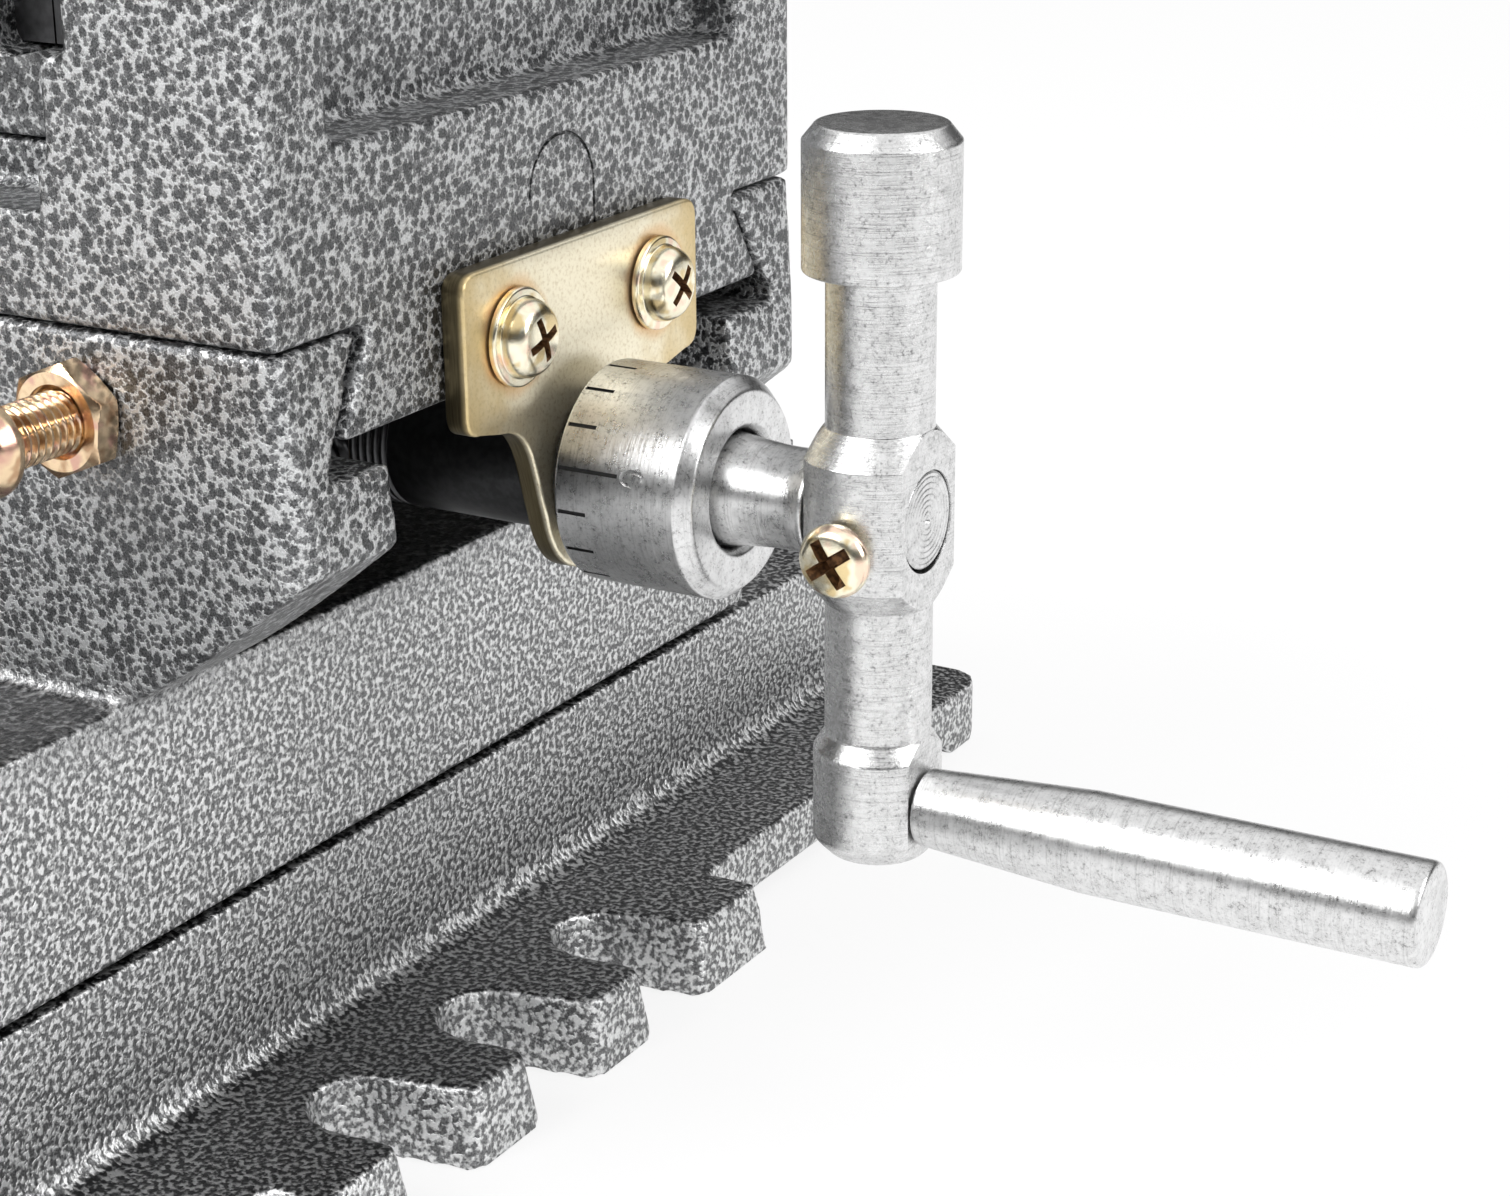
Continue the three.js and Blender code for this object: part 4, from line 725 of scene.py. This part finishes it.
def lead_screw(feed, thread_length):
    """The feed screw: its thread, the collar behind the plate, and the bright shaft out to the hub."""
    start = -PLATE_THICKNESS - SEAT_GAP
    inner = start - COLLAR_LENGTH
    tail = inner - thread_length
    thread_depth, neck, neck_length = 1.3, THREAD_RADIUS - 0.6, 1.0
    rings = [(0, tail), (THREAD_RADIUS - 1.4, tail)]
    rings += thread_rings(THREAD_RADIUS, FEED_PITCH, thread_depth, tail + 0.6, inner - neck_length, 40)

    # Ridges round the collar's inner end
    ridges, ridge, ridge_top, groove_place, groove = 5, 1.25, 0.55, 0.9, 0.55
    collar = [(neck, inner - neck_length), (neck, inner), (COLLAR_RADIUS - 0.5, inner, 0.3)]
    for k in range(ridges):
        place = inner + 0.5 + k * ridge
        collar += [(COLLAR_RADIUS, place, 0.12), (COLLAR_RADIUS, place + ridge_top, 0.12),
                   (COLLAR_RADIUS - groove, place + groove_place, 0.12)]
    collar += [(COLLAR_RADIUS, inner + 0.6 + ridges * ridge, 0.2), (COLLAR_RADIUS, start, 0.6),
               (SHAFT_RADIUS, start)]

    # The shaft fills the dial's cup, narrows, and has a rim before the crank
    cup = DIAL_START + DIAL_LENGTH - CUP_DEPTH
    plug, waist, rim = 7.6, 6.7, 7.5
    waist_start, waist_end, rim_start, rim_end = 30.0, 34.0, 35.6, 36.2
    spool = [(SHAFT_RADIUS, start), (SHAFT_RADIUS, cup + 0.2), (plug, cup + 0.2, 0.2), (plug, cup + 3.0, 0.6),
             (plug - 0.4, cup + 5.5, 2.0), (waist, waist_start, 3.0), (waist + 0.1, waist_end, 1.5),
             (rim, rim_start, 0.3), (rim, rim_end, 0.3), (SHAFT_RADIUS, rim_end + 0.1)]

    # The flush end face has rings of turning and a centre hole
    level, centre_hole = FLAT - 0.12, FLAT - 0.6
    ring_count, ring_depth, step_in = 7, 0.07, 0.75
    face = [(SHAFT_RADIUS, FLAT - 0.35, 0.2), (SHAFT_RADIUS - 0.3, level)]
    for k in range(ring_count):
        edge = SHAFT_RADIUS - 0.6 - k * step_in
        face += [(edge, level), (edge - 0.15, level - ring_depth), (edge - 0.3, level)]
    face += [(0.65, level), (0.3, centre_hole), (0, centre_hole)]

    rings += rounded(collar, 3) + rounded(spool, 5)[1:] + rounded(face, 2)
    mesh = turned("lead_screw", rings, 40, sharp=40)
    mesh.materials.append(MATERIALS["dark_steel"])
    mesh.materials.append(MATERIALS["turned_steel"])
    for side in mesh.polygons:
        if side.center.x > start * MM:
            side.material_index = 1
    return dressed(feed + "_screw_turned", mesh, feed + "_lead_screw", FEEDS[feed])


def number_cutter(number, place, radius, depth, turn):
    """A plain number for engraving into a sleeve round X, its head towards the plate."""
    curve = bpy.data.curves.new("number", "FONT")
    curve.body = str(number)
    curve.size = NUMBER_SIZE * MM
    curve.align_x, curve.align_y = "CENTER", "CENTER"
    curve.extrude = depth * MM
    curve.resolution_u = 3
    mesh = curve_mesh(curve)
    # The number's right, head and front go to -Z, -X and +Y
    mesh.transform(Matrix(((0, -1, 0, 0), (0, 0, 1, 0), (-1, 0, 0, 0), (0, 0, 0, 1))))
    return moved(mesh, turn.to_4x4() @ shift(place, radius, 0))


def dial(feed):
    """The graduated sleeve with its ticks, and a number at every fourth tick."""
    end = DIAL_START + DIAL_LENGTH
    cup = end - CUP_DEPTH
    bore = SHAFT_RADIUS + SEAT_GAP
    outline = [(bore, DIAL_START, 0.3), (DIAL_RADIUS, DIAL_START, 0.5), (DIAL_RADIUS, end - DIAL_BEVEL, 0.3),
               (DIAL_RADIUS - 0.9 * DIAL_BEVEL, end, 0.4), (CUP_RADIUS + 0.8, end, 0.4),
               (CUP_RADIUS, end - 0.9, 0.5), (CUP_RADIUS, cup, 0.5), (bore, cup, 0.2)]
    mesh = turned("dial", rounded(outline, 4, closed=True), 144, closed=True)
    depth, sunk_by = 0.3, 0.05
    tick_end = DIAL_START + TICK_SETBACK + LONG_TICK
    marks, cutters = [], []
    for k in range(TICK_COUNT):
        turn = Matrix.Rotation(math.radians(TICK_PHASE) + 2 * math.pi * k / TICK_COUNT, 3, "X")
        numbered = k % 4 == 0
        length = LONG_TICK if numbered else SHORT_TICK
        centre = turn @ Vector((DIAL_START + TICK_SETBACK + length / 2, DIAL_RADIUS, 0))
        marks.append(((length, 2 * depth, TICK_WIDTH), tuple(centre), turn))
        if numbered:
            cutters.append(number_cutter(k, tick_end + 0.45 * NUMBER_SIZE, DIAL_RADIUS, depth, turn))
    mesh = carved(mesh, [bars(marks)] + cutters)

    # Ink lies on the floors of the ticks; the numbers stay bright
    mesh.materials.append(MATERIALS["turned_steel"])
    mesh.materials.append(INK)
    floor, wall = DIAL_RADIUS - sunk_by, 0.9 * (DIAL_RADIUS - sunk_by)
    for face in mesh.polygons:
        x, y, z = np.array(face.center) / MM
        sunk = wall < math.hypot(y, z) < floor and abs(face.normal.x) < 0.99
        face.material_index = int(sunk and DIAL_START + TICK_SETBACK < x < tick_end + 0.1)
    return dressed(feed + "_dial_turned", mesh, feed + "_dial", FEEDS[feed])


def rod(radius, start, end, sides=32):
    """A round cutter along X, from one place to another."""
    return turned("rod", [(0, start), (radius, start), (radius, end), (0, end)], sides)


def crank(feed):
    """The turned crank arm, cut flat at its hub and its lower boss, with its three bores."""
    edge, cap_edge = 2.1, 1.7
    outline = [(0, BOSS_LOW), (BOSS_RADIUS - edge, BOSS_LOW, 0.4), (BOSS_RADIUS, BOSS_LOW + edge, 0.8),
               (BOSS_RADIUS, BOSS_HIGH, 0.3), (ARM_RADIUS, BOSS_NECK, 0.4), (ARM_RADIUS, -HUB_CONE, 0.15),
               (HUB_RADIUS, -HUB_EDGE, 0.12), (HUB_RADIUS, HUB_EDGE, 0.12), (ARM_RADIUS, HUB_CONE, 0.15),
               (ARM_RADIUS, CAP_LOW, 0.3), (CAP_RADIUS, CAP_LOW, 0.45), (CAP_RADIUS, CAP_EDGE, 0.15),
               (CAP_RADIUS - cap_edge, CAP_TOP, 0.3), (0, CAP_TOP)]

    # Long stretches are divided, so that the bores are cut out of short faces
    longest = 3
    rings = []
    points = rounded(outline, 5)
    for (r0, z0), (r1, z1) in zip(points[:-1], points[1:]):
        pieces = max(1, int(abs(z1 - z0) / longest))
        rings += [(r0 + (r1 - r0) * k / pieces, z0 + (z1 - z0) * k / pieces) for k in range(pieces)]
    rings.append(tuple(points[-1]))
    mesh = turned("crank", rings, 128)
    mesh.transform(shift(CRANK_REACH, 0, 0) @ ALONG_Z)

    deep, wide = 12.0, 30.0
    boss_foot = BOSS_LOW - 1.5
    cutters = [bar((deep, wide, 2 * HUB_CONE), (FLAT + deep / 2, 0, 0)),
               bar((deep, wide, 2 * HUB_CONE), (CRANK_REACH - ARM_RADIUS - deep / 2, 0, 0)),
               bar((deep, wide, BOSS_NECK - boss_foot), (FLAT + deep / 2, 0, (BOSS_NECK + boss_foot) / 2))]
    # The shaft's bore lies a little off its axis, so the gap round the shaft is wider on one side
    slack, outside = 0.15, FLAT + 9.3
    shaft_bore = rod(SHAFT_RADIUS + SEAT_GAP, 20, outside, 64)
    stud_bore = rod(STUD_RADIUS, 40, outside)
    set_bore = rod(SET_SCREW_HOLE, 5, 20)
    cutters.append(moved(shaft_bore, shift(0, -slack, -slack)))
    cutters.append(moved(stud_bore, shift(0, 0, -HANDLE_DROP)))
    cutters.append(moved(set_bore, shift(CRANK_REACH, 0, -SET_SCREW_DROP) @ ALONG_MINUS_Y))
    return dressed(feed + "_crank_turned", carved(mesh, cutters, 28), feed + "_crank", FEEDS[feed], ARM_STEEL)


def handle(feed):
    """The handle: a cone that widens to a long cylinder, open at the crank for its stud."""
    narrow, wide, end_wall = 5.14, 6.65, 15.0
    root = FLAT + SEAT_GAP
    tip = root + HANDLE_LENGTH
    outline = [(STUD_RADIUS, root), (narrow, root, 0.5), (wide, root + HANDLE_CONE, 0.15), (wide, tip, 1.1),
               (0, tip), (0, tip - end_wall), (STUD_RADIUS, tip - end_wall)]
    mesh = turned("handle", rounded(outline, 5), 96, closed=True)
    mesh = moved(mesh, shift(0, 0, -HANDLE_DROP))
    return dressed(feed + "_handle_turned", mesh, feed + "_handle", FEEDS[feed])


def feed_set(feed, hang):
    """The pieces of one feed. The plate of a hanging set has its broad side down."""
    flip = spin(180, "X") if hang else Matrix()
    up = -1 if hang else 1
    plate = bracket_plate(SEAT_GAP - PLATE_THICKNESS if hang else -PLATE_THICKNESS)
    dressed(feed + "_plate", moved(plate, flip), feed + "_bracket_plate", FEEDS[feed], PLATE_LOOK)
    for k, (side, turn) in enumerate(((-1, 20), (1, 48)), 1):
        mesh = pan_screw("pan_screw", seat=SEAT_GAP, radius=5.1, height=3.4, shank=2.5, tip=-12.5,
                         flange=(6.5, 0.9))
        mesh.transform(spin(turn, "X"))
        mesh.transform(shift(0, side * PLATE_SCREW_SPREAD, up * PLATE_SCREW_HEIGHT))
        dressed(f"{feed}_plate_screw_{k}", mesh, f"{feed}_bracket_screw_{k}", FEEDS[feed])
    node = feed + "_lead_screw"
    reach = (high(node) - low(node)).max()
    lead_screw(feed, reach - FLAT - PLATE_THICKNESS - SEAT_GAP - COLLAR_LENGTH)
    dial(feed)
    crank(feed)
    handle(feed)
    mesh = pan_screw("set_screw", seat=SET_SCREW_SEAT, radius=4.9, height=2.9, shank=2.4, tip=6.7,
                     recess=(0.76, 0.95, 0.34))
    mesh.transform(shift(CRANK_REACH, 0, -SET_SCREW_DROP) @ ALONG_MINUS_Y @ spin(35, "X"))
    dressed(feed + "_hub_screw", mesh, feed + "_set_screw", FEEDS[feed])


# Gib screws and jam nuts
def gib_screw(node, nut):
    """A round-headed M8 screw and its jam nut, where the two CAD nodes are."""
    size = high(node) - low(node)
    outward = spin(180, "Z") if size[0] > size[1] else ALONG_MINUS_Y
    end = size.max() / 2
    seat = end - GIB_HEAD
    neck, head, thread_depth = 3.4, 6.3, 0.72
    rings = [(0, -end), (2.6, -end)]
    rings += thread_rings(GIB_SCREW_RADIUS, GIB_PITCH, thread_depth, 0.3 - end, seat - 0.2, 40)
    outline = [(neck, seat - 0.2), (neck, seat), (head - 0.2, seat, 0.3), (head, seat + 1.0, 0.8),
               (head - 1.0, end, 1.3), (0, end)]
    mesh = turned("gib_screw", rings + rounded(outline, 4), 40, sharp=40)
    mesh = carved(mesh, [socket_cutter(end, 2.9, 3.1)], 40)
    dressed(node + "_threaded", moved(mesh, shift(*middle(node)) @ outward), node)

    # The nut's corners are chamfered at both ends, more so at the outer one
    sides, half, bore = 96, NUT_HEIGHT / 2, 3.9
    angle = np.degrees(np.linspace(0, 2 * math.pi, sides, endpoint=False)) - NUT_TURN
    flats = NUT_FLATS / 2 / np.cos(np.radians((angle % 60) - 30))
    back, front = 6.3, 6.2
    rings = [(bore, -half), (4.5, -half), (back, -half)]
    for share in np.linspace(0, 1, 7):
        rings.append((np.minimum(flats, back + 1.35 * share), -half + 0.5 * share))
    for share in np.linspace(1, 0, 7):
        rings.append((np.minimum(flats, front + 1.4 * share), half - 0.75 * share))
    rings += [(4.7, half), (bore, half - 0.6)]
    mesh = turned("jam_nut", rings, sides, closed=True, sharp=25)
    dressed(nut + "_hexagon", moved(mesh, shift(*middle(nut)) @ outward), nut)


# Clamp
def clamp():
    """The threaded spindle, the bush it turns in, and the sliding bar with its own and its loose knob."""
    axis = middle("clamp_spindle")
    on_axis = shift(0, axis[1], axis[2])
    start, nose = low("clamp_spindle")[0], high("clamp_spindle")[0]
    retainer_start, retainer_end = low("spindle_retainer")[0], high("spindle_retainer")[0]
    groove_start, groove_end = retainer_start - SEAT_GAP, retainer_end + SEAT_GAP
    head_end = start + SPINDLE_HEAD
    thread_start, thread_end = head_end + 3, retainer_start - 3
    r, head, edge, groove, thread_depth = SPINDLE_RADIUS, SPINDLE_HEAD_RADIUS, 1.5, 5.0, 1.6
    outline = [(0, start), (head - edge, start, 0.8), (head, start + edge, 0.8), (head, head_end - edge, 0.8),
               (head - edge, head_end, 0.8), (r + 0.6, head_end, 0.6), (r, head_end + 1.2, 0.2),
               (r, thread_start)]
    rings = rounded(outline, 4)
    rings += thread_rings(r, CLAMP_PITCH, thread_depth, thread_start, thread_end, 48)
    rings += rounded([(r, thread_end), (r, groove_start, 0.3), (groove, groove_start), (groove, groove_end),
                      (r, groove_end, 0.3), (r, nose, 0.8), (0, nose)], 3)
    mesh = turned("spindle", rings, 48, sharp=40)
    hole = rod(BAR_RADIUS + SEAT_GAP, -20, 20, 48)
    mesh = carved(mesh, [moved(hole, shift((start + head_end) / 2, 0, 0) @ ALONG_Y)], 40)
    dressed("spindle_threaded", mesh, "clamp_spindle", on_axis)

    back, front = low("spindle_nut")[0], high("spindle_nut")[0]
    bore, flange, body, flange_length = r + SEAT_GAP, 16.0, 12.0, 4.0
    outline = [(bore, back, 0.4), (flange, back, 1.0), (flange, back + flange_length, 0.5),
               (body, back + flange_length), (body, front, 0.6), (bore, front, 0.3)]
    mesh = turned("bush", rounded(outline, 3, closed=True), 80, closed=True)
    dressed("spindle_bush", mesh, "spindle_nut", on_axis)

    inner, outer = low("clamp_bar")[1], high("bar_knob")[1]
    bar_axis = middle("clamp_bar")
    on_bar = shift(bar_axis[0], (inner + outer) / 2, bar_axis[2]) @ ALONG_Y
    end = (outer - inner) / 2
    foot = end - KNOB_LENGTH
    neck, bulge, bore = KNOB_RADIUS - 1.5, 2.5, BAR_RADIUS + SEAT_GAP
    outline = [(0, -end), (neck, -end, 1.2), (KNOB_RADIUS, bulge - end, 2.5),
               (KNOB_RADIUS, -foot - bulge, 2.5), (neck, -foot, 1.2), (BAR_RADIUS, -foot),
               (BAR_RADIUS, end - 2.3), (0, end - 2.3)]
    dressed("clamp_bar_turned", turned("clamp_bar", rounded(outline, 4), 64), "clamp_bar", on_bar)
    outline = [(bore, foot), (neck, foot, 1.2), (KNOB_RADIUS, foot + bulge, 2.5),
               (KNOB_RADIUS, end - bulge, 2.5), (neck, end, 1.2), (0, end), (0, end - 2), (bore, end - 2)]
    mesh = turned("bar_knob", rounded(outline, 4), 64, closed=True)
    dressed("bar_knob_turned", mesh, "bar_knob", on_bar)


def small_screws():
    """Socket screws of the keeper plate, the retainer and the feed nuts."""
    head_height = 4.0
    for name in nodes:
        if "nut_screw" in name or "keeper_screw" in name or "retainer_screw" in name:
            size = high(name) - low(name)
            half = size.max() / 2
            seat, tip = head_height - half, half
            if name.startswith("base_nut"):
                seat, tip = -seat, -tip
            radius, shank = (4.6, 2.5) if "retainer" in name else (4.9, 3.0)
            mesh = cap_screw(seat, radius, head_height, shank, tip)
            turn = Matrix() if np.argmax(size) == 0 else ALONG_Z
            dressed(name + "_socket", moved(mesh, shift(*middle(name)) @ turn), name)


def bevelled(names, width):
    """Rounds the edges of CAD nodes that stay as they are."""
    for name in names:
        change = nodes[name].modifiers.new("edges", "BEVEL")
        change.width = width * MM
        change.segments = 2
        change.limit_method = "ANGLE"
        change.angle_limit = math.radians(40)
        shade(nodes[name].data, 30)


# Stage
def make_stage():
    """A white floor, a dim room with a bright ceiling, and two lamps."""
    n = Nodes("white_floor")
    # The floor glows by these shares where it is seen straight and in mirrors, and is plain white elsewhere
    straight, in_mirrors = 0.82, 0.35
    path = n.add("LightPath")
    mirrored = n.math("MAXIMUM", path.outputs["Is Glossy Ray"], path.outputs["Is Transmission Ray"])
    seen = n.math("MULTIPLY_ADD", path.outputs["Is Camera Ray"], straight, n.times(mirrored, in_mirrors))
    diffuse = n.add("BsdfDiffuse", {"Color": (0.86, 0.86, 0.86, 1)})
    glow = n.add("Emission", {"Color": (1, 1, 1, 1), "Strength": 1.0})
    mixed = n.add("MixShader", {0: seen})
    n.tree.links.new(diffuse.outputs[0], mixed.inputs[1])
    n.tree.links.new(glow.outputs[0], mixed.inputs[2])
    n.tree.links.new(mixed.outputs[0], n.out.inputs["Surface"])
    mesh = bpy.data.meshes.new("floor")
    half = 6.0
    corners = [(-half, -half, 0), (half, -half, 0), (half, half, 0), (-half, half, 0)]
    mesh.from_pydata(corners, [], [(0, 1, 2, 3)])
    mesh.materials.append(n.material)
    floor = add_object("floor", mesh)
    floor.location.z = -0.0001

    # A dim room under a bright ceiling, so upright faces mirror the floor and level ones stay dark
    world = bpy.data.worlds.new("studio")
    bpy.context.scene.world = world
    world.use_nodes = True
    tree = world.node_tree
    where = tree.nodes.new("ShaderNodeTexCoord")
    parts = tree.nodes.new("ShaderNodeSeparateXYZ")
    ramp = tree.nodes.new("ShaderNodeValToRGB")
    tree.links.new(where.outputs["Generated"], parts.inputs[0])
    tree.links.new(parts.outputs["Z"], ramp.inputs[0])
    tree.links.new(ramp.outputs[0], tree.nodes["Background"].inputs["Color"])
    tree.nodes["Background"].inputs["Strength"].default_value = 1.0
    stops = ((0.0, 0.30), (0.06, 0.06), (0.36, 0.05), (0.62, 1.0), (1.0, 1.1))
    ramp.color_ramp.elements[0].position = stops[0][0]
    ramp.color_ramp.elements[1].position = stops[-1][0]
    for place, _ in stops[1:-1]:
        ramp.color_ramp.elements.new(place)
    for element, (_, grey) in zip(ramp.color_ramp.elements, stops):
        element.color = (grey, grey, grey, 1)

    def area(name, place, target, size, power):
        """A lamp that faces a target."""
        light = bpy.data.lights.new(name, "AREA")
        light.shape = "RECTANGLE"
        light.size, light.size_y = size
        light.energy = power
        lamp = bpy.data.objects.new(name, light)
        bpy.context.scene.collection.objects.link(lamp)
        lamp.location = place
        aim = Vector(target) - Vector(place)
        lamp.rotation_euler = aim.to_track_quat("-Z", "Y").to_euler()

    area("key", (-0.5, -1.1, 1.1), (0, 0, 0.08), (0.9, 0.9), 22)
    area("side", (1.4, 0.2, 0.8), (0, 0, 0.08), (0.8, 0.8), 12)


def make_camera():
    """The camera that was fitted to the photo."""
    yaw, pitch, roll = 0.524, -0.338, -0.007
    forward = Vector((-math.sin(yaw) * math.cos(pitch), math.cos(yaw) * math.cos(pitch), math.sin(pitch)))
    right = Vector((math.cos(yaw), math.sin(yaw), 0))
    up = right.cross(forward)
    r = math.cos(roll) * right + math.sin(roll) * up
    u = -math.sin(roll) * right + math.cos(roll) * up
    data = bpy.data.cameras.new("camera")
    data.sensor_fit = "HORIZONTAL"
    data.sensor_width = 36
    data.lens = 71.59
    data.clip_start, data.clip_end = 0.01, 50
    camera = bpy.data.objects.new("camera", data)
    bpy.context.scene.collection.objects.link(camera)
    turn = Matrix((r, u, -forward)).transposed()
    camera.matrix_world = shift(303.65, -313.29, 207.72) @ turn.to_4x4()
    bpy.context.scene.camera = camera


CROSS_AXIS, BASE_AXIS = middle("cross_dial"), middle("base_dial")
FEEDS = {
    "cross": shift(high("cross_bracket_plate")[0], CROSS_AXIS[1], CROSS_AXIS[2]),
    "base": shift(BASE_AXIS[0], low("base_bracket_plate")[1], BASE_AXIS[2]) @ ALONG_MINUS_Y,
}

casting("base", voxel=0.8, faces=120000)
casting("saddle", voxel=0.8, faces=110000)
casting("vise_body", voxel=0.8, faces=110000, cutters=[seam_cutter()])
casting("movable_jaw", voxel=0.9, faces=40000)
feed_set("cross", hang=False)
feed_set("base", hang=True)
for feed in ("cross", "base"):
    for k in (1, 2, 3):
        gib_screw(f"{feed}_gib_{k}_screw", f"{feed}_gib_{k}_lock_nut")
clamp()
small_screws()
bevelled(["fixed_jaw_plate", "movable_jaw_plate", "keeper_plate", "spindle_retainer", "cross_feed_nut",
          "base_feed_nut"], 0.5)
make_stage()
make_camera()
bpy.context.scene.view_settings.view_transform = "Standard"

bpy.context.view_layer.update()
